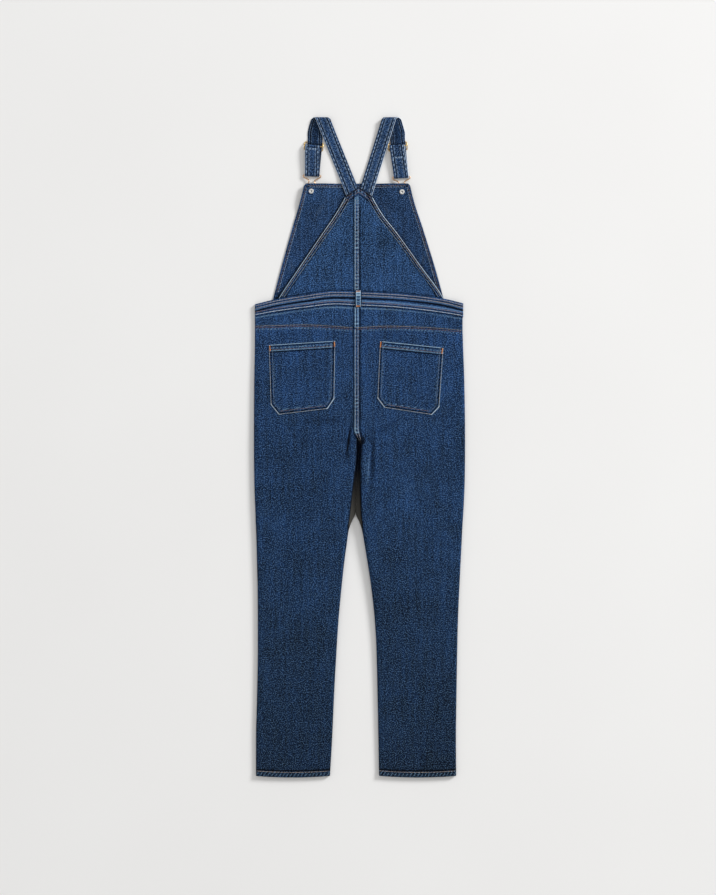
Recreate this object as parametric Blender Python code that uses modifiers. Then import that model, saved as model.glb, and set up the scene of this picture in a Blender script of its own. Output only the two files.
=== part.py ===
"""Denim dungarees laid flat with the back uppermost and both straps fastened.

X runs across the garment, Y runs up it from the hems to the straps and Z is the
height above the surface that it lies on. The origin is under its middle. Sizes
are in millimetres until a mesh is filled. Every piece is a wall of cloth or a
piece of metal, and keeps a small clearance from the next one.
"""

import math

import bmesh
import bpy
import numpy as np
from mathutils import Vector

MM = 0.001

# Cloth
WALL = 1.5                  # a panel of denim
RAISED = 0.8                # a turned or felled band stands this much prouder
BAND_WALL = 2.2             # the doubled waistband
CLEARANCE = 0.3             # between pieces
SIDE_ROUND = 3.1            # outer radius of the cloth where it rounds a side
STEP = 0.25                 # half the width of the step beside a raised band
ROUND_STEPS = 3

# Seams
SEAM_HEIGHT = SIDE_ROUND + CLEARANCE / 2
FLAT_LEVEL = 2 * SIDE_ROUND + CLEARANCE     # the upper layer's outside where it lies flat
BACK_SEAM_X = -11.8
CROTCH_Y = 7.0
CROTCH_DIP = 24.0           # how far above the crotch its dip begins
THIGH_Y = -205.0            # closer rows begin at each of these levels
KNEE_SIDE_Y = -125.0
DIP_LOW_Y = -5.0
DIP_HIGH_Y = 45.0
FELL_WIDTH = 11.0
FELL_START = 9.0            # the centre seam's fell starts this far above the crotch
FELL_LEAST = 1.0            # its step keeps this far from the rounding of the crotch
LEG_HEM = 13.0
HEM_START = -724.0          # the level of a leg's lowest row, before its hem is curved
HEM_LOWEST = -726.0
HEM_RISE = 3.5              # how much higher the hem line is at a leg's sides
HEM_HALF = 83.0
HEM_MIDDLE = {"left": -146.3, "right": 128.0}
HEM_REACH = 84.0            # how far up a leg the hem's curve is felt
TOP_REACH = 90.0            # and how far down it the curve of its upper seam
BIB_HEM = 9.0
BACK_BIB_HEM = 10.0
POCKET_HEM = 14.0
POCKET_WALL = 1.2
POCKET_DEPTH = 130.0
BAND_WIDTH = 30.0
BAND_EDGE = 10.0            # each raised edge of the back waistband
BAND_RAISED = 2.6           # its wall there, and in the crease between them
BAND_SUNK = 1.9
BAND_SLOPE = 1.7            # half the width of the slope between them

# Straps
STRAP_WALL = 1.8
STRAP_WIDTH = 30.0          # behind the shoulder
STRAP_FRONT_WIDTH = 32.6    # from the shoulder to the hook
STRAP_TOP = 8.0             # its middle's height where it turns over at the shoulder
TIP_SHARE = 0.13            # the share of the back run in which the cut end's slant is lost
LOOP_STEPS = 7
FRONT_LEAD = 16.0           # the front run ends this far above its slider's middle
SHIFT_REACH = 75.0          # a run's shift to one side is lost this far below a slider
SLIDER_CLEAR = 15.0         # how far from a slider's middle its strap lies low again
SLIDER_DIP = 3.0            # and how far either side of the middle bar it does
BAR_SEAT = 2.0              # how far either side of an end bar the strap rides level
DOUBLED = (20.0, 36.0)      # places on the doubled run, up from the hook
TURN_UP = 12.0              # how far below the middle bar the strap begins to turn round it
TAIL = (4.2, 8.2, 13.0)     # the sewn end's places below the middle bar
TAIL_DROP = 0.9             # how far its first place hangs below the bar's wrap

# Metal
WIRE = 2.4
CAP_RADIUS = 8.5
CAP_HEIGHT = 3.0
SHANK_RADIUS = 3.5
NAIL_RADIUS = 1.2
TACK_RADIUS = 5.4
TACK_HEIGHT = 1.2
BIB_HOLE_RADIUS = 1.7
BIB_LIFT = CAP_HEIGHT + WIRE + 2 * CLEARANCE    # bib's underside over a button
LIFT_FLAT = 21.0
LIFT_REACH = 64.0
LIFT_ABOVE = 12.0           # the lift is full this far above a button
TURN_STEPS = 16


def table(names, *rows):
    """Columns of sizes by name, keyed by the first one."""
    return dict(zip(names.split(), np.array(rows, float).T))


LEG_EDGES = table(
    "y outer_left inner_left inner_right outer_right",
    (-726, -227.5, -65, 43, 212.5),
    (-640, -227.5, -60, 41.5, 212),
    (-560, -225.5, -56.5, 40, 213),
    (-440, -223.5, -50, 37, 215),
    (-380, -223.5, -46, 33.5, 216.5),
    (-310, -224, -39.5, 26, 219.5),
    (-250, -225.5, -33, 17, 222.5),
    (-205, -226.5, -26.8, 9.6, 224.8),
    (-183, -227.4, -23.8, 5.8, 225.8),
    (-163, -228.2, -16.5, -1.2, 227),
    (-145, -228.8, -8.95, -8.65, 228.2),
    (-128, -229.5, -8.25, -7.95, 229.1),
    (-84, -231.1, -6.45, -6.15, 231.1),
    (-40, -231.8, -3.35, -3.05, 231.9),
    (0, -232.1, -1.15, -0.85, 232.1),
    (14, -232.1, -2.15, -1.85, 232.1),
    (27, -232, -9.15, -8.85, 232),
    (40, -232, -11.95, -11.65, 232),
    (140, -231.5, -11.95, -11.65, 230.5),
    (230, -230, -11.95, -11.65, 227.5),
    (280, -230, -11.95, -11.65, 226.5),
    (325, -230, -11.95, -11.65, 228),
)

# How far the inner seams lie out into the gap, low under the upper layer's edge
SHELF = table(
    "y reach",
    (-205, 0.0),
    (-183, 0.6),
    (-163, 5.4),
    (-145, 10.7),
    (-128, 9.2),
    (-84, 6.2),
    (-40, 4.2),
    (0, 4.6),
    (14, 3.5),
    (27, 0.0),
)
SHELF_FULL = 3.0            # a shelf this wide takes the seam right down
SHELF_INSET = 0.45          # its edge keeps this far from the seam's line
SHELF_SHARE = 0.06          # how much of the rounding's turn the shelf takes
SHELF_HALF = 60.0           # no shelf is further than this from the middle
SHOULDER = 1.6              # how much wider than a plain rounding the cloth's fall to it is

WAIST = table(
    "x band_top band_bottom yoke_seam",
    (-230, 313.7, 288.2, 266.2),
    (-184, 324.9, 296.5, 267.5),
    (-120, 335.5, 305.0, 269.3),
    (-52, 343.6, 312.0, 265.8),
    (-12, 342.8, 310.2, 263.1),
    (63, 339.7, 306.7, 266.5),
    (146, 332.2, 298.5, 263.5),
    (190, 325.2, 292.5, 260.2),
    (228, 315.7, 286.0, 256.5),
)

# How much higher than flat the upper layer stands, along the inner and outer sides
LOFT = table(
    "y inner outer",
    (-726, 0.0, 0.5),
    (-600, 1.0, 1.0),
    (-440, 2.5, 1.5),
    (-300, 5.0, 2.0),
    (-180, 8.0, 2.5),
    (-90, 10.5, 2.5),
    (0, 11.0, 2.5),
    (60, 9.0, 2.0),
    (140, 4.5, 1.2),
    (230, 1.0, 0.3),
    (262, 0.0, 0.0),
)
LOFT_MIDDLE_X = -7.0
LOFT_REACH = 225.0
LOFT_ROUND = 0.8            # how much wider a side's rounding is where the cloth stands high

BACK_BIB_EDGE = table(
    "y left right height",
    (318, -184, 189, 5.0),
    (332, -176, 183, 4.9),
    (403, -128, 132, 4.0),
    (474, -79, 80.5, 2.9),
    (511, -53.5, 51.0, 2.7),
    (551, -30.5, 27.5, 4.2),
    (572, -22.0, 17.5, 5.2),
)

FRONT_BIB_EDGE = table(
    "y left right",
    (318, -192.5, 187),
    (407, -168.3, 161.7),
    (486, -146.3, 137.5),
    (539, -130.9, 119.9),
    (565, -124.3, 113.3),
    (579, -121.0, 110.5),
)
FRONT_BIB_TOP = 579.0
FRONT_BIB_FOOT = 326.0      # the mean level of its foot, and where its closer rows start
FRONT_BIB_MIDDLE = 470.0
FRONT_BIB_REACH = 150.0     # how far up it the curve of its foot is felt
BIB_CORNER = 4.0
BIB_CORNER_HEIGHT = 8.0
BACK_BIB_FOOT = 330.0
BIB_FLAT_SIDE = 25.0        # its folds fade out this close to its sides
BIB_FLAT_FOOT = 30.0        # and to its foot
YOKE_LEVELS = (265.0, 300.0)
TIP_PEAK = (-2.0, 571.3)
TIP_SHOULDER_Y = 551.0

# Folds in the upper layer: where they lie, how far they reach and how high they stand
FOLDS = table(
    "x y turn reach width height",
    (-24, -4, 8, 60, 10, -1.8),
    (13, -42, -2, 95, 14, 2.0),
    (55, 30, -62, 70, 13, -1.0),
    (-62, 28, 70, 75, 14, 0.9),
    (-140, 284, 86, 78, 9, -0.8),
    (128, 287, 95, 85, 9, -0.7),
    (-150, -150, 8, 190, 26, -1.1),
    (-110, -230, 5, 200, 24, 0.9),
    (150, -190, -7, 180, 26, -1.0),
    (95, -330, -5, 170, 22, 0.8),
    (-70, 440, 20, 60, 22, 0.8),
    (60, 430, -18, 70, 20, -0.7),
)

POCKETS = {
    "left": {
        "top": ((-199.3, 223.7), (-53.2, 232.8)),
        "bottom": ((-195.1, 93.3), (-176.9, 70.8), (-70.2, 83.6), (-55.2, 106.0)),
    },
    "right": {
        "top": ((44.9, 232.3), (184.6, 217.6)),
        "bottom": ((39.2, 107.4), (54.8, 86.2), (158.6, 70.4), (175.3, 87.8)),
    },
}

# Straps: the plan of each run, the shift of its layers and the tilt of its metal
STRAPS = {
    "left": {
        "tip": (-14.1, 556.0),
        "tip_turn": 39.0,
        "top": (-80.3, 725.0),
        "loop_shift": -9.5,
        "bow": -8.4,
        "slider": (-100.8, 661.0),
        "front_shift": 2.4,
        "tail_shift": -2.4,
        "slider_tilt": -4.0,
        "hook": (-104.3, 598.0),
        "hook_tilt": -2.0,
        "button": (-106.0, 562.0),
    },
    "right": {
        "tip": (12.8, 555.3),
        "tip_turn": -40.0,
        "top": (64.5, 725.0),
        "loop_shift": 10.5,
        "bow": 5.0,
        "slider": (84.0, 661.0),
        "front_shift": 1.4,
        "tail_shift": -1.8,
        "slider_tilt": 5.0,
        "hook": (91.8, 594.0),
        "hook_tilt": 3.0,
        "button": (93.7, 560.5),
    },
}
STRAP_RISE = table(
    "along left right",
    (0.00, 2.75, 2.75),
    (0.05, 3.5, 3.5),
    (0.18, 3.9, 3.9),
    (0.30, 2.6, 3.0),
    (0.45, 1.8, 2.8),
    (0.60, 2.0, 3.4),
    (0.70, 2.6, 4.1),
    (0.82, 3.9, 4.9),
    (0.91, 5.6, 6.0),
    (1.00, STRAP_TOP, STRAP_TOP),
)
STRAP_HALF = STRAP_WALL / 2
WRAP_RADIUS = WIRE / 2 + CLEARANCE + STRAP_HALF
HOOK_BAR_HEIGHT = STRAP_WALL + CLEARANCE + WIRE / 2
OVER_BAR = WIRE + CLEARANCE + STRAP_HALF
MIDDLE_BAR_HEIGHT = STRAP_WALL + CLEARANCE + WRAP_RADIUS + STRAP_HALF

SLIDER_WIDTH = 43.0
SLIDER_LENGTH = 20.0
SLIDER_CORNER = 3.0
HOOK_AIM = 16.0             # a hook has turned toward its button this far down
HOOK_OUTLINE = table(
    "down half_width height",
    (0.0, 8.0, 0.0),
    (0.0, 16.7, 0.0),
    (1.1, 19.0, 0.0),
    (3.6, 19.5, 0.0),
    (5.9, 17.6, 0.1),
    (8.6, 12.2, 0.4),
    (11.0, 7.8, 0.7),
    (13.6, 5.9, 1.0),
    (17.0, 6.6, 1.2),
    (21.5, 9.4, 1.2),
    (26.0, 10.2, 1.2),
    (31.0, 8.3, 1.2),
    (35.5, 5.6, 1.2),
    (39.0, 4.7, 1.2),
    (41.2, 3.2, 1.2),
    (42.2, 1.0, 1.2),
)

LOOP_LENGTH = (307.0, 344.0)
LOOP_X = -2.6
LOOP_WIDTH = 14.5
LOOP_WALL = 1.6
LOOP_BOW = 1.6
LOOP_SEWN = 6.0             # the length of each end that is sewn down
LOOP_SPRING = 1.6           # how fast it rises from there

DENIM = (0.030, 0.062, 0.150)
DENIM_INSIDE = (0.040, 0.064, 0.130)
BRASS = (0.62, 0.42, 0.16)
ROSE_GOLD = (0.60, 0.38, 0.26)
SILVER = (0.72, 0.72, 0.71)


def clear_scene():
    """Take every object out of the open scene."""
    for item in list(bpy.data.objects):
        bpy.data.objects.remove(item, do_unlink=True)


def new_collection(name):
    """A collection of its own in the scene."""
    collection = bpy.data.collections.new(name)
    bpy.context.scene.collection.children.link(collection)
    return collection


def finish(name, colour, roughness, metallic):
    """A plain Principled finish."""
    material = bpy.data.materials.new(name)
    material.use_nodes = True
    shader = material.node_tree.nodes["Principled BSDF"]
    shader.inputs["Base Color"].default_value = (*colour, 1.0)
    shader.inputs["Roughness"].default_value = roughness
    shader.inputs["Metallic"].default_value = metallic
    return material


def read(columns, name, at):
    """One column's value at a place along the first, eased between the rows."""
    keys = next(iter(columns.values()))
    values = columns[name]
    slopes = np.diff(values) / np.diff(keys)
    turns = slopes[:-1] * slopes[1:] <= 0
    sums = np.where(turns, 1.0, slopes[:-1] + slopes[1:])
    inner = np.where(turns, 0.0, 2 * slopes[:-1] * slopes[1:] / sums)
    tangents = np.concatenate(([slopes[0]], inner, [slopes[-1]]))
    row = int(np.clip(np.searchsorted(keys, at) - 1, 0, len(keys) - 2))
    gap = keys[row + 1] - keys[row]
    t = float(np.clip((at - keys[row]) / gap, 0, 1))
    start = values[row] * (1 + 2 * t) * (1 - t) ** 2 + tangents[row] * gap * t * (1 - t) ** 2
    end = values[row + 1] * t * t * (3 - 2 * t) + tangents[row + 1] * gap * t * t * (t - 1)
    return float(start + end)


def smooth_step(t):
    """Rises from 0 to 1 with flat ends."""
    t = min(max(t, 0.0), 1.0)
    return t * t * (3 - 2 * t)


def mix(start, end, t):
    """The value a share t of the way from start to end."""
    return start + (end - start) * t


def spread(start, end, steps, near_start=(), near_end=()):
    """Places from start to end, evenly but for those marked off from either end."""
    way = math.copysign(1.0, end - start)
    first = [start + way * mark for mark in near_start]
    last = [end - way * mark for mark in reversed(near_end)]
    inner_start = first[-1] if first else start
    inner_end = last[0] if last else end
    middle = list(np.linspace(inner_start, inner_end, steps + 1))
    lead = ([start] + first[:-1]) if first else []
    tail = (last[1:] + [end]) if last else []
    return lead + middle + tail


def band(width):
    """The two marks of the step at the inner edge of a raised band."""
    return (width - STEP, width + STEP)


def fold_height(x, y):
    """How far the upper layer stands above its flat level."""
    height = 0.0
    for fold_x, fold_y, turn, reach, width, rise in zip(*FOLDS.values()):
        lean = math.radians(turn)
        along = ((x - fold_x) * math.sin(lean) + (y - fold_y) * math.cos(lean)) / reach
        across = ((x - fold_x) * math.cos(lean) - (y - fold_y) * math.sin(lean)) / width
        if abs(along) < 1 and abs(across) < 1:
            height += rise * (1 - along * along) ** 2 * (1 - across * across) ** 2
    return height


def shelf_share(x, y):
    """How far the seam at a leg's inner side is taken down by its shelf, from 0 to 1."""
    if abs(x) > SHELF_HALF:
        return 0.0
    return min(read(SHELF, "reach", y) / SHELF_FULL, 1.0)


def round_width(x, y, curl):
    """How wide the rounding of a side is, more where the cloth stands high."""
    return SIDE_ROUND + mix(LOFT_ROUND * loft_at(x, y), SHOULDER, shelf_share(x, y)) * curl


def side_round(x, y, curl, wall, has_shelf=False):
    """Inset and share of full height of the plain inside where a panel rounds a side."""
    low = math.pi / 2 * (1 - curl)
    total = round_width(x, y, curl)
    across = total - wall
    up = SIDE_ROUND + loft_at(x, y) / 2 - wall
    steep = up * math.cos(low)
    start = wall * steep / math.hypot(steep, across * math.sin(low))
    spare = total - start - across * math.cos(low)
    shelf = read(SHELF, "reach", y) * curl if has_shelf else 0.0
    taken = shelf_share(x, y) if has_shelf else 0.0
    points = [(mix(start, min(start, SHELF_INSET), taken), math.sin(low))]
    shares = [step / ROUND_STEPS for step in range(1, ROUND_STEPS + 1)]
    if has_shelf:
        shares.insert(0, mix(0.5 / ROUND_STEPS, SHELF_SHARE, taken))
    for share in shares:
        angle = mix(low, math.pi / 2, share)
        inset = start + shelf + across * (math.cos(low) - math.cos(angle)) + spare * share
        points.append((inset, math.sin(angle)))
    return points


def cross_section(left, right, y, curls, steps, wall, near=((), ()), shelves=(False, False)):
    """x and share of height of a panel's plain inside, from its left seam to its right."""
    left_round = side_round(left, y, curls[0], wall, shelves[0])
    right_round = side_round(right, y, curls[1], wall, shelves[1])
    start = left + left_round[-1][0]
    end = right - right_round[-1][0]
    flat = spread(start, end, steps, *near)
    section = [(left + inset, full) for inset, full in left_round[:-1]]
    section += [(x, 1.0) for x in flat]
    section += [(right - inset, full) for inset, full in reversed(right_round[:-1])]
    return section


def loft_at(x, y):
    """How much higher than flat the upper layer stands at a place."""
    share = smooth_step(abs(x - LOFT_MIDDLE_X) / LOFT_REACH)
    return mix(read(LOFT, "inner", y), read(LOFT, "outer", y), share)


def seam_level(x, y):
    """Height of the seam at a leg's side."""
    return SEAM_HEIGHT + loft_at(x, y) / 2 * (1 - shelf_share(x, y))


def back_inside(x, y, full, wall=WALL):
    """Height of the upper layer's plain inside, at a share of its full height."""
    seam = seam_level(x, y) + CLEARANCE / 2
    return mix(seam, FLAT_LEVEL + loft_at(x, y) - wall + fold_height(x, y), full)


def front_inside(x, y, full, wall=WALL):
    """Height of the lower layer's plain inside, over its flat underside."""
    seam = seam_level(x, y) - CLEARANCE / 2
    return mix(seam, wall, full)


def back_outside(x, y):
    """Height of the upper layer's outside, away from its sides."""
    return back_inside(x, y, 1.0) + WALL


def make_panel(name, points, walls, material, outward=1):
    """A wall of cloth: rows of points on its plain inside, thickened outwards."""
    points = np.asarray(points, float)
    walls = np.asarray(walls, float)
    rows, columns = walls.shape
    mesh = bpy.data.meshes.new(name)
    grid = bmesh.new()
    bmesh.ops.create_grid(grid, x_segments=columns - 1, y_segments=rows - 1, size=1.0)
    for vertex in grid.verts:
        column = round((vertex.co.x + 1) / 2 * (columns - 1))
        row = round((vertex.co.y + 1) / 2 * (rows - 1))
        vertex.co = Vector(points[row, column]) * MM
    grid.verts.index_update()
    if outward < 0:
        bmesh.ops.reverse_faces(grid, faces=grid.faces)
    grid.to_mesh(mesh)
    grid.free()
    panel = bpy.data.objects.new(name, mesh)
    parts.objects.link(panel)
    mesh.materials.append(material)
    shell = panel.modifiers.new("Wall", "SOLIDIFY")
    thickest = float(walls.max())
    thinnest = float(walls.min())
    shell.thickness = thickest * MM
    shell.offset = 1.0
    shell.use_even_offset = True
    if thickest > thinnest:
        group = panel.vertex_groups.new(name="Wall")
        for index, wall in enumerate(walls.ravel()):
            group.add([index], (wall - thinnest) / (thickest - thinnest), "REPLACE")
        shell.vertex_group = group.name
        shell.thickness_vertex_group = thinnest / thickest
    return panel


def hem_y(side, x):
    """The hem line of one leg, lowest at its middle."""
    return HEM_LOWEST + HEM_RISE * ((x - HEM_MIDDLE[side]) / HEM_HALF) ** 2


def leg_curl(y):
    """How far a leg's inner edge is rolled down to its seam."""
    return 1 - smooth_step((y - CROTCH_Y) / CROTCH_DIP)


def make_leg(side, layer):
    """One leg panel of the back or the front."""
    is_back = layer == "back"
    top_line = "yoke_seam" if is_back else "band_bottom"
    top = float(np.mean(WAIST[top_line]))
    levels = spread(HEM_START, THIGH_Y, 9, band(LEG_HEM))
    levels += spread(THIGH_Y, KNEE_SIDE_Y, 8)[1:]
    levels += spread(KNEE_SIDE_Y, DIP_LOW_Y, 7)[1:]
    levels += spread(DIP_LOW_Y, DIP_HIGH_Y, 12)[1:]
    levels += spread(DIP_HIGH_Y, top, 6 if is_back else 3)[1:]
    is_felled = is_back and side == "right"
    points = []
    walls = []
    for level in levels:
        outer = read(LEG_EDGES, "outer_" + side, level)
        inner = read(LEG_EDGES, "inner_" + side, level)
        curl = leg_curl(level)
        rounding = side_round(inner, level, curl, WALL, is_back)[-1][0]
        fell = band(max(FELL_WIDTH - rounding, FELL_LEAST)) if is_felled else ()
        steps = 11 if is_back else 8
        if side == "left":
            shelves = (False, is_back)
            section = cross_section(outer, inner, level, (1, curl), steps, WALL, shelves=shelves)
        else:
            near, shelves = (fell, ()), (is_back, False)
            section = cross_section(inner, outer, level, (curl, 1), steps, WALL, near, shelves)
        hem_share = smooth_step((HEM_START + HEM_REACH - level) / HEM_REACH)
        top_share = smooth_step((level - top + TOP_REACH) / TOP_REACH)
        is_hemmed = is_back and level < HEM_START + LEG_HEM
        row = []
        row_walls = []
        for x, full in section:
            y = level + (hem_y(side, x) - HEM_START) * hem_share
            y += (read(WAIST, top_line, x) - CLEARANCE / 2 - top) * top_share
            z = back_inside(x, y, full) if is_back else front_inside(x, y, full)
            on_fell = is_felled and x - inner < FELL_WIDTH and level > CROTCH_Y + FELL_START
            row.append((x, y, z))
            row_walls.append(WALL + (RAISED * full if on_fell or is_hemmed else 0.0))
        points.append(row)
        walls.append(row_walls)
    make_panel(f"{layer}_leg_{side}", points, walls, denim, 1 if is_back else -1)


def make_yoke(side):
    """One half of the back yoke, between the waistband and a leg."""
    points = []
    walls = []
    fell = band(FELL_WIDTH - SIDE_ROUND) if side == "right" else ()
    for share in spread(0.0, 1.0, 4):
        level = mix(*YOKE_LEVELS, share)
        outer = read(LEG_EDGES, "outer_" + side, level)
        inner = read(LEG_EDGES, "inner_" + side, level)
        if side == "left":
            section = cross_section(outer, inner, level, (1, 0), 10, WALL)
        else:
            section = cross_section(inner, outer, level, (0, 1), 10, WALL, (fell, ()))
        row = []
        row_walls = []
        for x, full in section:
            low = read(WAIST, "yoke_seam", x) + CLEARANCE / 2
            high = read(WAIST, "band_bottom", x) - CLEARANCE / 2
            y = mix(low, high, share)
            row.append((x, y, back_inside(x, y, full)))
            felled = side == "right" and x - inner < FELL_WIDTH
            row_walls.append(WALL + (RAISED if felled else 0.0))
        points.append(row)
        walls.append(row_walls)
    make_panel(f"back_yoke_{side}", points, walls, denim)


def make_waistband(layer):
    """The back or the front of the waistband."""
    is_back = layer == "back"
    points = []
    walls = []
    left = LEG_EDGES["outer_left"][-1]
    right = LEG_EDGES["outer_right"][-1]
    base = WALL if is_back else BAND_WALL
    middle = WAIST["band_bottom"].mean() + BAND_WIDTH / 2
    section = cross_section(left, right, middle, (1, 1), 22, base)
    marks = (BAND_EDGE - BAND_SLOPE, BAND_EDGE + BAND_SLOPE) if is_back else ()
    for place in spread(0.0, BAND_WIDTH, 2, marks, marks):
        share = place / BAND_WIDTH
        is_creased = BAND_EDGE < place < BAND_WIDTH - BAND_EDGE
        row = []
        row_walls = []
        for x, full in section:
            low = read(WAIST, "band_bottom", x) + CLEARANCE / 2
            high = read(WAIST, "band_top", x) - CLEARANCE / 2
            y = mix(low, high, share)
            if is_back:
                z = back_inside(x, y, full)
                wall = mix(WALL, BAND_SUNK if is_creased else BAND_RAISED, full)
            else:
                z = front_inside(x, y, full, BAND_WALL)
                wall = BAND_WALL
            row.append((x, y, z))
            row_walls.append(wall)
        points.append(row)
        walls.append(row_walls)
    make_panel(f"{layer}_waistband", points, walls, denim, 1 if is_back else -1)


def tip_y(x):
    """The slanting top edge of the back bib's point."""
    reach = abs(x - TIP_PEAK[0])
    side = "left" if x < TIP_PEAK[0] else "right"
    shoulder = abs(read(BACK_BIB_EDGE, side, TIP_SHOULDER_Y) - TIP_PEAK[0])
    return mix(TIP_PEAK[1], TIP_SHOULDER_Y, reach / shoulder)


def make_back_bib(side):
    """One half of the back bib, from the waistband to the point."""
    inner = BACK_SEAM_X - CLEARANCE / 2 if side == "left" else BACK_SEAM_X + CLEARANCE / 2
    points = []
    walls = []
    for share in spread(0.0, 1.0, 11):
        edge_y = mix(BACK_BIB_FOOT, TIP_SHOULDER_Y, share)
        edge = read(BACK_BIB_EDGE, side, edge_y)
        marks = band(BACK_BIB_HEM)
        if side == "left":
            places = spread(edge, inner, 8, near_start=marks)
        else:
            places = spread(inner, edge, 8, band(FELL_WIDTH), marks)
        foot_edge = read(BACK_BIB_EDGE, side, BACK_BIB_FOOT)
        top_edge = read(BACK_BIB_EDGE, side, TIP_SHOULDER_Y)
        row = []
        row_walls = []
        for x in places:
            across = (x - inner) / (edge - inner)
            foot_x = mix(inner, foot_edge, across)
            top_x = mix(inner, top_edge, across)
            low = read(WAIST, "band_top", foot_x) + CLEARANCE / 2
            y = mix(low, tip_y(top_x), share)
            z = read(BACK_BIB_EDGE, "height", y)
            flat = smooth_step(abs(x - edge) / BIB_FLAT_SIDE) * smooth_step((y - low) / BIB_FLAT_FOOT)
            row.append((x, y, z + fold_height(x, y) * flat))
            raised = abs(x - edge) < BACK_BIB_HEM
            raised = raised or (side == "right" and x - inner < FELL_WIDTH)
            row_walls.append(WALL + (RAISED if raised else 0.0))
        points.append(row)
        walls.append(row_walls)
    make_panel(f"back_bib_{side}", points, walls, denim)


def bib_lift(x, y):
    """How far the buttons under the front bib lift its underside."""
    lift = 0.0
    for plan in STRAPS.values():
        button_x, button_y = plan["button"]
        reach = math.hypot(x - button_x, max(button_y - y, 0.0, y - button_y - LIFT_ABOVE))
        lift = max(lift, BIB_LIFT * smooth_step((LIFT_REACH - reach) / (LIFT_REACH - LIFT_FLAT)))
    return lift


def make_front_bib():
    """The front bib, its inside uppermost and its hems turned to that side."""
    points = []
    walls = []
    levels = spread(FRONT_BIB_FOOT, FRONT_BIB_MIDDLE, 3)
    levels += spread(FRONT_BIB_MIDDLE, FRONT_BIB_TOP, 9, (), band(BIB_HEM))[1:]
    for level in levels:
        left = read(FRONT_BIB_EDGE, "left", level)
        right = read(FRONT_BIB_EDGE, "right", level)
        above = level - FRONT_BIB_TOP + BIB_CORNER_HEIGHT
        corner = BIB_CORNER * smooth_step(above / BIB_CORNER_HEIGHT)
        places = spread(left + corner, right - corner, 16, band(BIB_HEM), band(BIB_HEM))
        row = []
        row_walls = []
        for x in places:
            low = read(WAIST, "band_top", x) + CLEARANCE / 2
            share = 1 - smooth_step((level - FRONT_BIB_FOOT) / FRONT_BIB_REACH)
            y = level + (low - FRONT_BIB_FOOT) * share
            row.append((x, y, bib_lift(x, y)))
            hemmed = level > FRONT_BIB_TOP - BIB_HEM
            hemmed = hemmed or min(x - left, right - x) - corner < BIB_HEM
            row_walls.append(WALL + (RAISED if hemmed else 0.0))
        points.append(row)
        walls.append(row_walls)
    bib = make_panel("front_bib", points, walls, denim_inside)
    for side, plan in STRAPS.items():
        bpy.ops.mesh.primitive_cylinder_add(
            vertices=12,
            radius=BIB_HOLE_RADIUS * MM,
            depth=2 * BIB_LIFT * MM,
            location=Vector((*plan["button"], BIB_LIFT)) * MM,
        )
        cutter = bpy.context.object
        cutter.name = f"bib_hole_{side}"
        move_to(cutter, cutters)
        cutter.hide_render = True
        cutter.display_type = "WIRE"
        hole = bib.modifiers.new(f"Hole {side}", "BOOLEAN")
        hole.operation = "DIFFERENCE"
        hole.solver = "EXACT"
        hole.object = cutter


def move_to(item, collection):
    """Keep an object in one collection alone."""
    for other in list(item.users_collection):
        other.objects.unlink(item)
    collection.objects.link(item)


def make_pocket(side):
    """One patch pocket, lying on its leg panel, with a raised hem along the top."""
    shape = POCKETS[side]
    top_left, top_right = (np.array(corner) for corner in shape["top"])
    corners = np.array(shape["bottom"])
    lengths = (corners[:, 0] - corners[0, 0]) / (corners[-1, 0] - corners[0, 0])
    across = spread(0.0, lengths[1], 1) + spread(lengths[1], lengths[2], 5)[1:] + [1.0]
    points = []
    walls = []
    for place in spread(POCKET_DEPTH, 0.0, 7, near_end=band(POCKET_HEM)):
        row = []
        row_walls = []
        for share in across:
            high = mix(top_left, top_right, share)
            low = np.array([np.interp(share, lengths, corners[:, axis]) for axis in (0, 1)])
            if place <= POCKET_HEM + STEP:
                x, y = high + (low - high) * place / np.linalg.norm(low - high)
            else:
                reach = (place - POCKET_HEM - STEP) / (POCKET_DEPTH - POCKET_HEM - STEP)
                start = high + (low - high) * (POCKET_HEM + STEP) / np.linalg.norm(low - high)
                x, y = mix(start, low, reach)
            row.append((x, y, back_outside(x, y) + CLEARANCE))
            row_walls.append(POCKET_WALL + (RAISED if place < POCKET_HEM else 0.0))
        points.append(row)
        walls.append(row_walls)
    make_panel(f"back_pocket_{side}", points, walls, denim)


def make_belt_loop():
    """The belt loop, bowed clear of the waistband between its sewn ends."""
    points = []
    low, high = LOOP_LENGTH
    for y in spread(low, high, 8, (LOOP_SEWN,), (LOOP_SEWN,)):
        centre = (low + high) / 2
        middle = max(1 - (abs(y - centre) / (high - low) * 2) ** 2, 0.0)
        seat = back_outside(LOOP_X, y) + BAND_RAISED - WALL + CLEARANCE
        z = seat + LOOP_BOW * smooth_step(middle * LOOP_SPRING)
        points.append([(LOOP_X + share * LOOP_WIDTH / 2, y, z) for share in (-1, 0, 1)])
    walls = np.full((len(points), 3), LOOP_WALL)
    make_panel("belt_loop", points, walls, denim)


def arc(centre_y, centre_z, radius, start, end, steps):
    """Places round an arc in the upright plane, as distances along y and heights."""
    places = []
    for step in range(steps + 1):
        angle = math.radians(mix(start, end, step / steps))
        places.append((centre_y + radius * math.cos(angle), centre_z + radius * math.sin(angle)))
    return places


def back_run(side, loop_y):
    """The strap from under the point to the top, its end cut along the point's edge."""
    plan = STRAPS[side]
    tip_x, tip_y = plan["tip"]
    top_x = plan["top"][0]
    lean = math.degrees(math.atan2(tip_x - top_x, loop_y - tip_y))
    run = []
    for share, height in zip(STRAP_RISE["along"], STRAP_RISE[side]):
        turn = lean * (1 - smooth_step((share - 0.5) * 2))
        turn = mix(plan["tip_turn"], turn, smooth_step(share / TIP_SHARE))
        reach = STRAP_WIDTH / 2 / math.cos(math.radians(lean - turn))
        run.append((mix(tip_x, top_x, share), mix(tip_y, loop_y, share), height, turn, reach))
    return run


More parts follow.
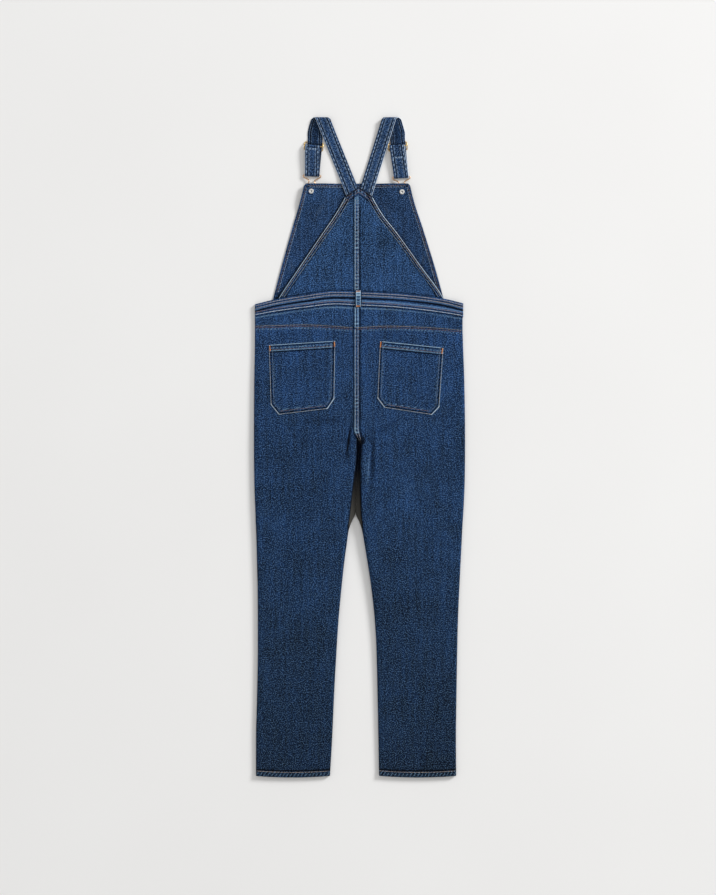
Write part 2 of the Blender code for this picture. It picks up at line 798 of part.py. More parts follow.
def front_run(plan, start_y):
    """The strap from its turn at the top down to its slider."""
    x = plan["top"][0] + plan["loop_shift"]
    end_x = plan["slider"][0] + plan["front_shift"]
    end_y = plan["slider"][1] + FRONT_LEAD
    run = []
    for share in (0.2, 0.45, 0.75):
        bow = plan["bow"] * share * (1 - share)
        turn = plan["slider_tilt"] * share
        run.append((mix(x, end_x, share) + bow, mix(start_y, end_y, share), STRAP_HALF, turn))
    return run


def slider_run():
    """Places below a slider's middle and heights of the strap woven through it."""
    end_bar = (SLIDER_LENGTH - WIRE) / 2
    above = [
        (-SLIDER_CLEAR, STRAP_HALF),
        (-end_bar - BAR_SEAT, OVER_BAR),
        (BAR_SEAT - end_bar, OVER_BAR),
        (-SLIDER_DIP, STRAP_HALF),
    ]
    return above + [(-down, height) for down, height in reversed(above)]


def doubled_run(length):
    """Places and heights of the strap from the hook's bar back to its sewn end."""
    high = MIDDLE_BAR_HEIGHT + WRAP_RADIUS
    low = HOOK_BAR_HEIGHT + WRAP_RADIUS
    run = []
    for place in (length - DOUBLED[0], length - DOUBLED[1]):
        run.append((place, mix(high, low, smooth_step((place - TURN_UP) / (length - TURN_UP)))))
    run.append((TURN_UP, high))
    run += arc(0.0, MIDDLE_BAR_HEIGHT, -WRAP_RADIUS, -90, 90, 6)
    run.append((TAIL[0], MIDDLE_BAR_HEIGHT - WRAP_RADIUS + TAIL_DROP))
    run += [(place, high - STRAP_WALL - CLEARANCE) for place in TAIL[1:]]
    return run


def strap_line(side):
    """The strap's middle line, with its turn and half its width, from its point end on."""
    plan = STRAPS[side]
    loop_radius = (STRAP_TOP - STRAP_HALF) / 2
    loop_y = plan["top"][1] - loop_radius - STRAP_HALF
    line = back_run(side, loop_y)
    top_reach = line[-1][-1]
    reach = STRAP_FRONT_WIDTH / 2
    loop = arc(loop_y, STRAP_HALF + loop_radius, loop_radius, 90, -90, LOOP_STEPS)[1:]
    for step, (y, z) in enumerate(loop, 1):
        share = step / LOOP_STEPS
        x = plan["top"][0] + plan["loop_shift"] * share
        line.append((x, y, z, 0.0, mix(top_reach, reach, share)))
    line += [(*place, reach) for place in front_run(plan, loop_y)]
    slider = np.array(plan["slider"])
    hook = np.array(plan["hook"])
    length = float(np.linalg.norm(hook - slider))
    down = (hook - slider) / length
    for place, z in slider_run():
        x, y = slider + down * place
        x += plan["front_shift"] * smooth_step((SHIFT_REACH - SLIDER_CLEAR - place) / SHIFT_REACH)
        line.append((x, y, z, plan["slider_tilt"], reach))
    for place, z in arc(length, HOOK_BAR_HEIGHT, WRAP_RADIUS, -90, 90, 6):
        line.append((*(slider + down * place), z, plan["hook_tilt"], reach))
    for place, z in doubled_run(length):
        x, y = slider + down * place
        x += plan["tail_shift"] * smooth_step(1 - place / length)
        turn = mix(plan["slider_tilt"], plan["hook_tilt"], max(place, 0.0) / length)
        line.append((x, y, z, turn, reach))
    return line


def make_strap(side):
    """One strap: a stitched strip that follows its middle line."""
    points = []
    for x, y, z, turn, reach in strap_line(side):
        lean = math.radians(turn)
        across = np.array((math.cos(lean), math.sin(lean), 0.0)) * reach
        points.append([np.array((x, y, z)) + across * share for share in (-1, 0, 1)])
    walls = np.full((len(points), 3), STRAP_WALL)
    strap = make_panel(f"strap_{side}", points, walls, denim)
    strap.modifiers["Wall"].offset = 0.0


def make_wire(name, points, material, closed):
    """A bent wire through its points."""
    curve = bpy.data.curves.new(name, "CURVE")
    curve.dimensions = "3D"
    curve.bevel_depth = WIRE / 2 * MM
    curve.bevel_resolution = 2
    curve.use_fill_caps = True
    spline = curve.splines.new("POLY")
    spline.points.add(len(points) - 1)
    for point, place in zip(spline.points, points):
        point.co = (*(Vector(place) * MM), 1.0)
    spline.use_cyclic_u = closed
    wire = bpy.data.objects.new(name, curve)
    parts.objects.link(wire)
    curve.materials.append(material)
    return wire


def to_mesh(wire):
    """The same wire as a mesh, with its caps welded."""
    source = wire.evaluated_get(bpy.context.evaluated_depsgraph_get())
    mesh = bpy.data.meshes.new_from_object(source)
    weld = bmesh.new()
    weld.from_mesh(mesh)
    bmesh.ops.remove_doubles(weld, verts=weld.verts, dist=0.001 * MM)
    bmesh.ops.recalc_face_normals(weld, faces=weld.faces)
    weld.to_mesh(mesh)
    weld.free()
    name = wire.name
    placed = wire.matrix_world.copy()
    bpy.data.objects.remove(wire, do_unlink=True)
    item = bpy.data.objects.new(name, mesh)
    item.matrix_world = placed
    parts.objects.link(item)
    return item


def turned(place, tilt, along, down, height):
    """A point given across and down from a bar's middle, as a place in the garment."""
    lean = math.radians(tilt)
    x = place[0] + along * math.cos(lean) + down * math.sin(lean)
    y = place[1] + along * math.sin(lean) - down * math.cos(lean)
    return (x, y, height)


def make_slider(side):
    """A slider: an arched wire frame, with the middle bar that carries the strap's end."""
    plan = STRAPS[side]
    half_width = (SLIDER_WIDTH - WIRE) / 2
    half_length = (SLIDER_LENGTH - WIRE) / 2
    corner = SLIDER_CORNER
    quarter = [(half_width, 0.0)]
    for step in range(4):
        angle = math.radians(90 * step / 3)
        along = half_width - corner + corner * math.cos(angle)
        quarter.append((along, half_length - corner + corner * math.sin(angle)))
    outline = quarter + [(-along, down) for along, down in reversed(quarter)]
    outline += [(-along, -down) for along, down in quarter[1:]]
    outline += [(along, -down) for along, down in reversed(quarter[1:])]
    frame_points = []
    for along, down in outline:
        arch = 1 - smooth_step(abs(down) / (half_length - corner / 2))
        height = mix(WIRE / 2, MIDDLE_BAR_HEIGHT, arch)
        frame_points.append(turned(plan["slider"], plan["slider_tilt"], along, down, height))
    slider = to_mesh(make_wire(f"slider_{side}", frame_points, brass, True))
    ends = [
        turned(plan["slider"], plan["slider_tilt"], along, 0.0, MIDDLE_BAR_HEIGHT)
        for along in (-half_width, half_width)
    ]
    bar = to_mesh(make_wire(f"slider_bar_{side}", ends, brass, False))
    move_to(bar, cutters)
    bar.hide_render = True
    bar.display_type = "WIRE"
    union = slider.modifiers.new("Middle bar", "BOOLEAN")
    union.operation = "UNION"
    union.solver = "EXACT"
    union.object = bar


def make_hook(side):
    """A hook: bar through the strap, neck over the bib's edge, eye round the shank."""
    plan = STRAPS[side]
    columns = (HOOK_OUTLINE["half_width"], HOOK_OUTLINE["down"], HOOK_OUTLINE["height"])
    right = list(zip(*columns))
    outline = right + [(-along, down, rise) for along, down, rise in reversed(right)]
    length = math.dist(plan["hook"], plan["button"]) + SHANK_RADIUS + CLEARANCE + WIRE / 2
    stretch = length / HOOK_OUTLINE["down"][-1]
    toward = np.subtract(plan["button"], plan["hook"])
    aim = math.degrees(math.atan2(toward[0], -toward[1]))
    points = []
    for along, down, rise in outline:
        tilt = mix(plan["hook_tilt"], aim, smooth_step(down / HOOK_AIM))
        points.append(turned(plan["hook"], tilt, along, down * stretch, HOOK_BAR_HEIGHT + rise))
    make_wire(f"hook_{side}", points, rose_gold, True)


def make_turned(name, profile, place, material):
    """A round piece turned about an upright axis."""
    mesh = bpy.data.meshes.new(name)
    line = bmesh.new()
    rings = [line.verts.new((radius * MM, 0.0, height * MM)) for radius, height in profile]
    for upper, lower in zip(rings, rings[1:]):
        line.edges.new((upper, lower))
    line.to_mesh(mesh)
    line.free()
    piece = bpy.data.objects.new(name, mesh)
    piece.location = Vector((*place, 0.0)) * MM
    parts.objects.link(piece)
    mesh.materials.append(material)
    turn = piece.modifiers.new("Turn", "SCREW")
    turn.axis = "Z"
    turn.steps = TURN_STEPS
    turn.render_steps = TURN_STEPS
    turn.use_merge_vertices = True
    turn.merge_threshold = 0.01 * MM
    turn.use_smooth_shade = True
    return piece


def make_button(side):
    """A button, its cap on the floor side and its hollow shank under the bib."""
    bore = NAIL_RADIUS + CLEARANCE
    shank_top = BIB_LIFT - CLEARANCE
    profile = (
        (0.0, CAP_HEIGHT + 0.4),
        (bore, CAP_HEIGHT + 0.4),
        (bore, shank_top),
        (SHANK_RADIUS, shank_top),
        (SHANK_RADIUS, CAP_HEIGHT),
        (CAP_RADIUS - 0.6, CAP_HEIGHT - 0.2),
        (CAP_RADIUS, CAP_HEIGHT - 0.9),
        (CAP_RADIUS - 0.3, 0.8),
        (CAP_RADIUS - 1.4, 0.0),
        (0.0, 0.0),
    )
    make_turned(f"button_{side}", profile, STRAPS[side]["button"], rose_gold)


def make_tack(side):
    """A button's tack: a dimpled disc on the bib and a nail into the shank."""
    seat = BIB_LIFT + WALL + CLEARANCE
    face = seat + TACK_HEIGHT
    nail_end = CAP_HEIGHT + 0.4 + CLEARANCE
    profile = (
        (0.0, face - 0.5),
        (0.9, face - 0.5),
        (1.5, face),
        (TACK_RADIUS - 0.7, face),
        (TACK_RADIUS, face - 0.5),
        (TACK_RADIUS, seat),
        (NAIL_RADIUS, seat),
        (NAIL_RADIUS, nail_end + 0.6),
        (0.0, nail_end),
    )
    make_turned(f"tack_{side}", profile, STRAPS[side]["button"], silver)


clear_scene()
parts = new_collection("denim_dungarees")
cutters = new_collection("cutters")
denim = finish("denim", DENIM, 0.9, 0.0)
denim_inside = finish("denim inside", DENIM_INSIDE, 0.92, 0.0)
brass = finish("brass", BRASS, 0.3, 1.0)
rose_gold = finish("rose gold", ROSE_GOLD, 0.28, 1.0)
silver = finish("silver", SILVER, 0.3, 1.0)

for half in ("left", "right"):
    make_leg(half, "back")
    make_leg(half, "front")
    make_yoke(half)
    make_pocket(half)
    make_back_bib(half)
    make_strap(half)
    make_slider(half)
    make_hook(half)
    make_button(half)
    make_tack(half)
make_waistband("back")
make_waistband("front")
make_front_bib()
make_belt_loop()
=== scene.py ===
import math

import bmesh
import bpy
import numpy as np
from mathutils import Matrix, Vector
from mathutils.bvhtree import BVHTree


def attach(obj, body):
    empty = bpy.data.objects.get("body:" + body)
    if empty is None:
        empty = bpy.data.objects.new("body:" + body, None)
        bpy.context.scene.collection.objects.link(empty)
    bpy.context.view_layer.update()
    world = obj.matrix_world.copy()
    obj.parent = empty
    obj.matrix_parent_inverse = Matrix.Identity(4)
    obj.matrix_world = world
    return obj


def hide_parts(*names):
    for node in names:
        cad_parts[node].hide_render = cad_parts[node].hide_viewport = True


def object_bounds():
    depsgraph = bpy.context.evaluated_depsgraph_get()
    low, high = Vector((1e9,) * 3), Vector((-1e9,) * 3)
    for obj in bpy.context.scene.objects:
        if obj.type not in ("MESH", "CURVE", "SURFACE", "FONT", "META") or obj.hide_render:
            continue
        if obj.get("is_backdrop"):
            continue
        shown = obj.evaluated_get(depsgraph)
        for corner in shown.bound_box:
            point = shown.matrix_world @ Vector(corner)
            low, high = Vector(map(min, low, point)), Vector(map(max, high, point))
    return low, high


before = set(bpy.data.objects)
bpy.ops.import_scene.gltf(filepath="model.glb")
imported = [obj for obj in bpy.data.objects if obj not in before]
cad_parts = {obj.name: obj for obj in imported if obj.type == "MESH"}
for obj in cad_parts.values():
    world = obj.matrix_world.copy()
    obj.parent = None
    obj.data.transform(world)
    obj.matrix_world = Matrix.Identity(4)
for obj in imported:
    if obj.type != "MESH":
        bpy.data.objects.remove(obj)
cad_low, cad_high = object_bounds()

# --- Studio -----------------------------------------------------------------------------
# The garment lies on a plain pale floor, seen from straight above. One broad soft light
# stands beyond its upper right, and the pale room around it lifts every shadow.

MM = 0.001
CAMERA_PLACE = (-3.3, -1.1, 4649.0)
FLOOR_SIZE = 9000.0
FLOOR_TONES = ((0.0, (0.84, 0.835, 0.83)), (1.0, (0.88, 0.88, 0.875)))
ROOM_LIGHT = 0.625
KEY_PLACE = (10350.0, 7600.0, 5580.0)
KEY_WIDTH = 3900.0
KEY_POWER = 1780


def add_node(tree, kind, inputs=None, **settings):
    """A node with its settings made and its named or numbered inputs filled."""
    node = tree.nodes.new("ShaderNode" + kind)
    for name, value in settings.items():
        setattr(node, name, value)
    for name, value in (inputs or {}).items():
        if isinstance(value, bpy.types.NodeSocket):
            tree.links.new(value, node.inputs[name])
        else:
            node.inputs[name].default_value = value
    return node


def noise(tree, scale, detail=2.0):
    """An even noise all through a piece, from 0 to 1."""
    place = add_node(tree, "TexCoord").outputs["Object"]
    return add_node(tree, "TexNoise", {"Vector": place, "Scale": scale, "Detail": detail}).outputs["Fac"]


def graded(tree, mask, stops):
    """Colours that follow a mask, blended between stops that give its value and a colour."""
    node = add_node(tree, "ValToRGB", {"Fac": mask})
    ramp = node.color_ramp.elements
    for index, (value, colour) in enumerate(stops):
        stop = ramp[index] if index < 2 else ramp.new(value)
        stop.position = value
        stop.color = (*colour, 1)
    return node.outputs["Color"]


def new_material(name, **constants):
    """A Principled material, its tree and its shader, with the sockets that never vary."""
    material = bpy.data.materials.new(name)
    material.use_nodes = True
    tree = material.node_tree
    shader = tree.nodes["Principled BSDF"]
    for socket, value in constants.items():
        shader.inputs[socket.replace("_", " ")].default_value = value
    return material, tree, shader


def feed(tree, node, **outputs):
    """Join outputs to a node's sockets, their names given with _ for a space."""
    for socket, output in outputs.items():
        tree.links.new(output, node.inputs[socket.replace("_", " ")])


bpy.ops.object.select_all(action="DESELECT")
bpy.ops.object.camera_add(location=Vector(CAMERA_PLACE) * MM, rotation=(0, 0, 0))
camera = bpy.context.object
camera.data.lens = 85
camera.data.sensor_width = 36
bpy.context.scene.camera = camera
bpy.context.scene.view_settings.view_transform = "Standard"

bpy.ops.mesh.primitive_plane_add(size=FLOOR_SIZE * MM)
floor = bpy.context.object
floor.name = "floor"
pale_floor, floor_tree, floor_shader = new_material("pale floor", Roughness=0.8)
feed(floor_tree, floor_shader, Base_Color=graded(floor_tree, noise(floor_tree, 2.0), FLOOR_TONES))
floor.data.materials.append(pale_floor)
floor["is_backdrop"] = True

world = bpy.data.worlds.new("pale room")
world.use_nodes = True
background = world.node_tree.nodes["Background"]
background.inputs["Color"].default_value = (1.0, 0.995, 0.985, 1)
background.inputs["Strength"].default_value = ROOM_LIGHT
bpy.context.scene.world = world

bpy.ops.object.light_add(type="AREA", location=Vector(KEY_PLACE) * MM)
key = bpy.context.object
key.name = "key_light"
key.data.shape = "DISK"
key.data.size = KEY_WIDTH * MM
key.data.energy = KEY_POWER
key.rotation_euler = (-Vector(KEY_PLACE)).to_track_quat("-Z", "Y").to_euler()

# --- Legs -------------------------------------------------------------------------------
# Each leg is a back panel of indigo denim lying on a front one, sewn down both sides. The
# right back panel is felled over the left along the centre seam, in two rows, and each hem
# is turned up once and sewn in one row, which has roped it.

WALL = 1.5
SHELL = 1.3                 # the cloth's own thickness
RAISED = 0.8                # a turned or felled band stands this much prouder
SIDE_ROUND = 3.1            # the outside's radius where it rounds a side
SEAM_GAP = 0.3
SEAM_HEIGHT = SIDE_ROUND + SEAM_GAP / 2
BACK_LEVEL = 6.5            # height of the upper layer's outside
BACK_SEAM_X = -11.8
CROTCH_Y = 7.0
CROTCH_DIP = 24.0
FELL_WIDTH = 11.0
FELL_ROWS = (2.8, 8.4)      # rows of stitches are given as how far in from the edge they lie
FELL_START = 13.0           # where the centre seam's felled band begins
FELL_RISE = 5.0
LEG_HEM = 13.0
HEM_ROW = 11.2
HEM_START = -724.0
HEM_LOWEST = -726.0
HEM_RISE = 3.5
HEM_MIDDLE = {"left": -146.3, "right": 128.0}
HEM_HALF = 83.0
HEM_REACH = 84.0            # how far up a leg the hem's curve is felt
TOP_REACH = 90.0            # and how far down it the curve of its upper seam
DIP_LOW_Y = -20.0           # closer places lie between these levels
DIP_HIGH_Y = 48.0
LEG_STEP = {"back": 4.0, "front": 8.0}      # from one place to the next up a leg
SPACING = {"back": 2.3, "front": 4.5}       # and across it
ROLL_SHARES = np.array((0.0, 0.03, 0.06, 0.12, 0.2, 0.33, 0.5, 0.66, 0.83))
UNDER_RISE = 0.25           # the lower layer's outside stands on its stitches
SIDES = ("left", "right")


def table(names, *rows):
    """Columns of sizes by name, keyed by the first one."""
    return dict(zip(names.split(), np.array(rows, float).T))


LEG_EDGES = table(
    "y outer_left inner_left inner_right outer_right",
    (-726, -227.5, -65, 43, 212.5),
    (-640, -227.5, -60, 41.5, 212),
    (-560, -225.5, -56.5, 40, 213),
    (-440, -223.5, -50, 37, 215),
    (-380, -223.5, -46, 33.5, 216.5),
    (-310, -224, -39.5, 26, 219.5),
    (-250, -225.5, -33, 17, 222.5),
    (-205, -226.5, -26.8, 9.6, 224.8),
    (-183, -227.4, -23.8, 5.8, 225.8),
    (-163, -228.2, -16.5, -1.2, 227),
    (-145, -228.8, -8.95, -8.65, 228.2),
    (-128, -229.5, -8.25, -7.95, 229.1),
    (-84, -231.1, -6.45, -6.15, 231.1),
    (-40, -231.8, -3.35, -3.05, 231.9),
    (0, -232.1, -1.15, -0.85, 232.1),
    (14, -232.1, -2.15, -1.85, 232.1),
    (27, -232, -9.15, -8.85, 232),
    (40, -232, -11.95, -11.65, 232),
    (140, -231.5, -11.95, -11.65, 230.5),
    (230, -230, -11.95, -11.65, 227.5),
    (280, -230, -11.95, -11.65, 226.5),
    (325, -230, -11.95, -11.65, 228),
)

# Below the crotch the inner seams lie low between the legs: how far a strip of each back
# panel reaches from its seam before the cloth rises.
SHELF = table(
    "y reach",
    (-205, 0.0),
    (-183, 0.6),
    (-163, 5.4),
    (-145, 10.7),
    (-128, 9.2),
    (-84, 6.2),
    (-40, 4.2),
    (0, 4.6),
    (14, 3.5),
    (27, 0.0),
)
SHELF_FULL = 3.0            # a shelf this wide takes the seam right down
SHELF_SHARE = 0.06          # how much of the rounding's turn it takes
SHELF_HALF = 60.0
SHOULDER = 1.6              # how much wider than a plain rounding the cloth's fall to it is

WAIST = table(
    "x band_top band_bottom yoke_seam",
    (-230, 313.7, 288.2, 266.2),
    (-184, 324.9, 296.5, 267.5),
    (-120, 335.5, 305.0, 269.3),
    (-52, 343.6, 312.0, 265.8),
    (-12, 342.8, 310.2, 263.1),
    (63, 339.7, 306.7, 266.5),
    (146, 332.2, 298.5, 263.5),
    (190, 325.2, 292.5, 260.2),
    (228, 315.7, 286.0, 256.5),
)

# How much higher than flat the upper layer stands, along the inner and outer sides: the
# thick seams at the crotch hold the legs open.
LOFT = table(
    "y inner outer",
    (-726, 0.0, 0.5),
    (-600, 1.0, 1.0),
    (-440, 2.5, 1.5),
    (-300, 5.0, 2.0),
    (-180, 8.0, 2.5),
    (-90, 10.5, 2.5),
    (0, 11.0, 2.5),
    (60, 9.0, 2.0),
    (140, 4.5, 1.2),
    (230, 1.0, 0.3),
    (262, 0.0, 0.0),
)
LOFT_MIDDLE_X = -7.0
LOFT_REACH = 225.0
LOFT_ROUND = 0.8            # how much wider a side's rounding is where the cloth stands high

# Folds and creases of the upper layer: their middle, the way they run, how far they reach
# along it and across it, and how high they stand or how deep they sink.
FOLDS = table(
    "x y turn reach width height",
    (-24, -4, 8, 60, 10, -1.8),
    (13, -42, -2, 95, 14, 2.0),
    (55, 30, -62, 70, 13, -1.0),
    (-62, 28, 70, 75, 14, 0.9),
    (-140, 284, 86, 78, 9, -0.8),
    (128, 287, 95, 85, 9, -0.7),
    (-150, -150, 8, 190, 26, -1.1),
    (-110, -230, 5, 200, 24, 0.9),
    (150, -190, -7, 180, 26, -1.0),
    (95, -330, -5, 170, 22, 0.8),
    (-70, 440, 20, 60, 22, 0.8),
    (60, 430, -18, 70, 20, -0.7),
)
CREASES = table(
    "x y turn reach width height",
    (-24, 15, 8, 66, 5, -1.2),
    (26, -32, 2, 80, 8, -2.6),
    (20, -100, 5, 56, 8, -1.0),
    (13, 18, -38, 26, 6, -1.5),
    (57, 42, 66, 44, 15, -0.7),
    (-36, -10, 24, 42, 6, -0.5),
    (-48, -34, 38, 50, 7, 0.4),
    (30, 12, -30, 34, 5, 0.5),
    (44, 2, -48, 44, 6, -0.6),
    (74, 16, -66, 50, 7, 0.4),
    (96, 4, -72, 46, 6, -0.35),
    (118, -38, -50, 60, 8, -0.4),
    (-90, 52, 84, 52, 7, -0.5),
    (-128, 58, 96, 44, 6, 0.35),
    (-196, 150, 6, 66, 6, -0.35),
    (204, 120, -4, 70, 6, -0.35),
    (-60, -120, 10, 80, 9, 0.45),
    (64, -140, -8, 92, 10, -0.45),
    (-168, -330, -4, 110, 11, -0.4),
    (-120, -402, 12, 84, 10, 0.35),
    (172, -352, 7, 96, 10, 0.4),
    (128, -450, -9, 90, 11, -0.35),
    (-150, -540, 5, 88, 10, -0.35),
    (-96, -610, -6, 60, 8, 0.3),
    (96, -566, 8, 84, 9, -0.35),
    (158, -630, -5, 64, 9, 0.3),
)

# Painted shade and painted highlights along the folds and creases: how they lie, and by how much.
SHADES = table(
    "x y turn reach width wear",
    (-24, 14, 8, 70, 4.5, -1.1),
    (30, -32, 2, 85, 8, -0.4),
    (24, 14, -38, 26, 7, -0.4),
    (21.5, -34, 4, 80, 3, 0.34),
    (14, 20, -38, 24, 3, 0.36),
    (3, -90, 0, 90, 4, -0.5),
    (58, 40, 66, 44, 16, -0.25),
    (26, 38, -60, 20, 9, -0.3),
    (-82, 58, 88, 52, 12, -0.25),
    (-15, -20, 4, 70, 5, 0.12),
    (110, -90, 63, 90, 9, 0.12),
)


def ease(columns, name, at):
    """One column of a table at places along its first, eased between the rows."""
    keys = next(iter(columns.values()))
    values = columns[name]
    slopes = np.diff(values) / np.diff(keys)
    turns = slopes[:-1] * slopes[1:] <= 0
    sums = np.where(turns, 1.0, slopes[:-1] + slopes[1:])
    inner = np.where(turns, 0.0, 2 * slopes[:-1] * slopes[1:] / sums)
    tangents = np.concatenate(([slopes[0]], inner, [slopes[-1]]))
    row = np.clip(np.searchsorted(keys, at) - 1, 0, len(keys) - 2)
    gap = keys[row + 1] - keys[row]
    t = np.clip((at - keys[row]) / gap, 0, 1)
    start = values[row] * (1 + 2 * t) * (1 - t) ** 2 + tangents[row] * gap * t * (1 - t) ** 2
    end = values[row + 1] * t * t * (3 - 2 * t) + tangents[row + 1] * gap * t * t * (t - 1)
    return start + end


def smooth(t):
    """Rises from 0 to 1 with flat ends."""
    t = np.clip(t, 0.0, 1.0)
    return t * t * (3 - 2 * t)


def mix(start, end, t):
    """The value a share t of the way from start to end."""
    return start + (end - start) * t


def folds_at(folds, x, y):
    """How far the folds of a table lift the cloth."""
    height = np.zeros(np.broadcast(x, y).shape)
    for fold_x, fold_y, turn, reach, width, rise in zip(*folds.values()):
        lean = math.radians(turn)
        along = ((x - fold_x) * math.sin(lean) + (y - fold_y) * math.cos(lean)) / reach
        across = ((x - fold_x) * math.cos(lean) - (y - fold_y) * math.sin(lean)) / width
        inside = np.clip(1 - along**2, 0, 1) ** 2 * np.clip(1 - across**2, 0, 1) ** 2
        height = height + rise * inside
    return height


def stations(start, end, step, fine_start=(), fine_end=()):
    """Places from start to end about a step apart, with finer ones marked off at an end."""
    first = [start + mark for mark in fine_start] or [start]
    last = [end - mark for mark in reversed(fine_end)] or [end]
    count = max(round((last[0] - first[-1]) / step), 1)
    return np.concatenate((first[:-1], np.linspace(first[-1], last[0], count + 1), last[1:]))


def loft_at(x, y):
    """How much higher than flat the upper layer stands."""
    share = smooth(np.abs(x - LOFT_MIDDLE_X) / LOFT_REACH)
    return mix(ease(LOFT, "inner", y), ease(LOFT, "outer", y), share)


def shelf_share(x, y):
    """How far a shelf takes a leg's inner seam down, from 0 to 1."""
    return (np.abs(x) < SHELF_HALF) * np.clip(ease(SHELF, "reach", y) / SHELF_FULL, 0, 1)


def seam_level(x, y):
    """Height of the seam at a leg's side."""
    return SEAM_HEIGHT + loft_at(x, y) / 2 * (1 - shelf_share(x, y))


def rolled_sides(left, right, y, curls, step, fine=(0.0,), shelves=(False, False)):
    """x and share of full height of a panel's outside, a row for each level, rolled down
    at its sides, with a low strip beside a seam that has a shelf."""
    rolls = []
    for edge, curl, has_shelf in zip((left, right), curls, shelves):
        shelf = (ease(SHELF, "reach", y) * curl * has_shelf)[:, None]
        width = mix(LOFT_ROUND * loft_at(edge, y), SHOULDER, shelf_share(edge, y)) * curl
        width = (SIDE_ROUND + width)[:, None]
        low = (np.pi / 2 * (1 - curl))[:, None]
        angle = mix(low, np.pi / 2, ROLL_SHARES)
        inset = width * (np.cos(low) - np.cos(angle) + (1 - np.cos(low)) * ROLL_SHARES)
        inset = inset + shelf * smooth(ROLL_SHARES / SHELF_SHARE)
        rolls.append((inset, np.sin(angle), width + shelf))
    count = max(round((right - left).mean() / step), 4)
    start = left[:, None] + rolls[0][2] + np.array(fine)
    end = right[:, None] - rolls[1][2]
    shares = np.arange(1, count) / count
    middle = mix(start[:, -1:], end[:, :1], shares)
    flat = np.hstack((start, middle, end))
    x = np.hstack((left[:, None] + rolls[0][0], flat, right[:, None] - rolls[1][0][:, ::-1]))
    full = np.hstack((rolls[0][1], np.ones_like(flat), rolls[1][1][:, ::-1]))
    return x, full


def leg_width(side, y, curl, spacing, fine=(0.0,), has_shelf=False):
    """x and share of full height of a panel as wide as a leg, whose inner edge is rolled
    down by a curl, and how far each place is from that edge."""
    outer = ease(LEG_EDGES, "outer_" + side, y)
    inner = ease(LEG_EDGES, "inner_" + side, y)
    rolled = np.ones_like(y)
    if side == "left":
        curls, shelves = (rolled, curl), (False, has_shelf)
        x, full = rolled_sides(outer, inner, y, curls, spacing, shelves=shelves)
    else:
        curls, shelves = (curl, rolled), (has_shelf, False)
        x, full = rolled_sides(inner, outer, y, curls, spacing, fine, shelves)
    return x, full, np.abs(x - inner[:, None])


def ripple(along, seed, length=8.3):
    """An uneven wave, as sewing thread draws up in cloth, about its length between crests."""
    drift = 0.45 * np.sin(along / 9.1 + seed * 1.7) + 0.8 * np.sin(along / 23.0 + seed)
    swell = 0.62 + 0.38 * np.sin(along / 13.7 + seed * 2.3)
    return np.sin(2 * np.pi * along / length + drift * 1.6 + seed) * swell


def bell(at, middle, reach):
    """A smooth bump of height 1 round a middle."""
    return np.exp(-(((at - middle) / reach) ** 2))


def between(at, start, full, fade, end):
    """Rises from 0 to 1 between the first two places and falls between the last two."""
    return smooth((at - start) / (full - start)) * smooth((end - at) / (end - fade))


def lines_at(distance, *lines):
    """Height, or wear and painted shade, of lines along an edge: how much each adds, how far in and how
    wide.
    """
    return sum(much * bell(distance, inset, reach) for much, inset, reach in lines)


def along_rows(distance, rows, much, reach=0.8):
    """Height or wear along rows of stitches, which draw the cloth in and leave it rubbed."""
    return lines_at(distance, *((much, row, reach) for row in rows))


def dimples(along, seed):
    """Hollows left open between the stitches, from 0 to 1, which painted shade darkens."""
    return smooth(0.5 + 1.1 * ripple(along, seed + 4, 7.0))


def sewn_band(distance, along, width, rows, seed, edge=1.5, beside=1.5):
    """Height, wear and painted shade beside a turned edge: a raised band, a groove under each row
    of stitches, puckers and painted shade in the dimples between them, a pale folded edge and a
    painted shadow line beside."""
    band = smooth((width + 0.7 - distance) / 1.4)
    waves = ripple(along, seed)
    middle = (rows[0] + rows[-1]) / 2
    pull = np.exp(-(((distance - middle) / ((rows[-1] - rows[0]) / 2 + 1.2)) ** 4))
    height = RAISED * band + 0.28 * waves * pull * mix(0.35, 1.0, band)
    wear = (0.8 * waves - 0.1) * pull * mix(0.4, 1.0, band)
    wear = wear + lines_at(distance, (edge, 0, 0.9), (-beside, width + 1.5, 1.4))
    if len(rows) > 1:
        wear = wear - 1.1 * bell(distance, middle, 1.2) * dimples(along, seed)
    return height + along_rows(distance, rows, -0.3), wear


def centre_fell(reach, y):
    """Height, wear and painted shade of the felled band beside the centre seam, and how far it covers."""
    height, wear = sewn_band(reach, y, FELL_WIDTH, FELL_ROWS, 3, edge=0.0)
    return height, wear, smooth((FELL_WIDTH - reach) / 2)


def back_height(x, y, full=1.0):
    """Height of the upper layer's outside, with its folds and creases."""
    top = BACK_LEVEL + loft_at(x, y) + folds_at(FOLDS, x, y) + folds_at(CREASES, x, y)
    return mix(seam_level(x, y) + SEAM_GAP / 2 + SHELL * shelf_share(x, y), top, full)


def front_height(x, y, full):
    """Height of the lower layer's outside, which is its underside."""
    return mix(seam_level(x, y) - SEAM_GAP / 2, UNDER_RISE, full)


def fold_wear_and_shade(x, y):
    """Crests of the folds are rubbed a little paler, painted shade darkens their hollows, and the painted
    streaks of shade and highlight are added.
    """
    rubbed = 0.06 * folds_at(FOLDS, x, y) + 0.1 * folds_at(CREASES, x, y)
    return rubbed + folds_at(SHADES, x, y)


def mark_wear_and_shade(mesh, wear):
    """Give each point of a mesh its wear and painted shade."""
    attribute = mesh.attributes.new("wear", "FLOAT", "POINT")
    attribute.data.foreach_set("value", wear.astype(np.float32).ravel())


def place_piece(piece, slot, *nodes):
    """The piece rides on the garment and stands for its solids; its finish, the slot, is not used."""
    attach(piece, "root")
    if nodes:
        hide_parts(*nodes)


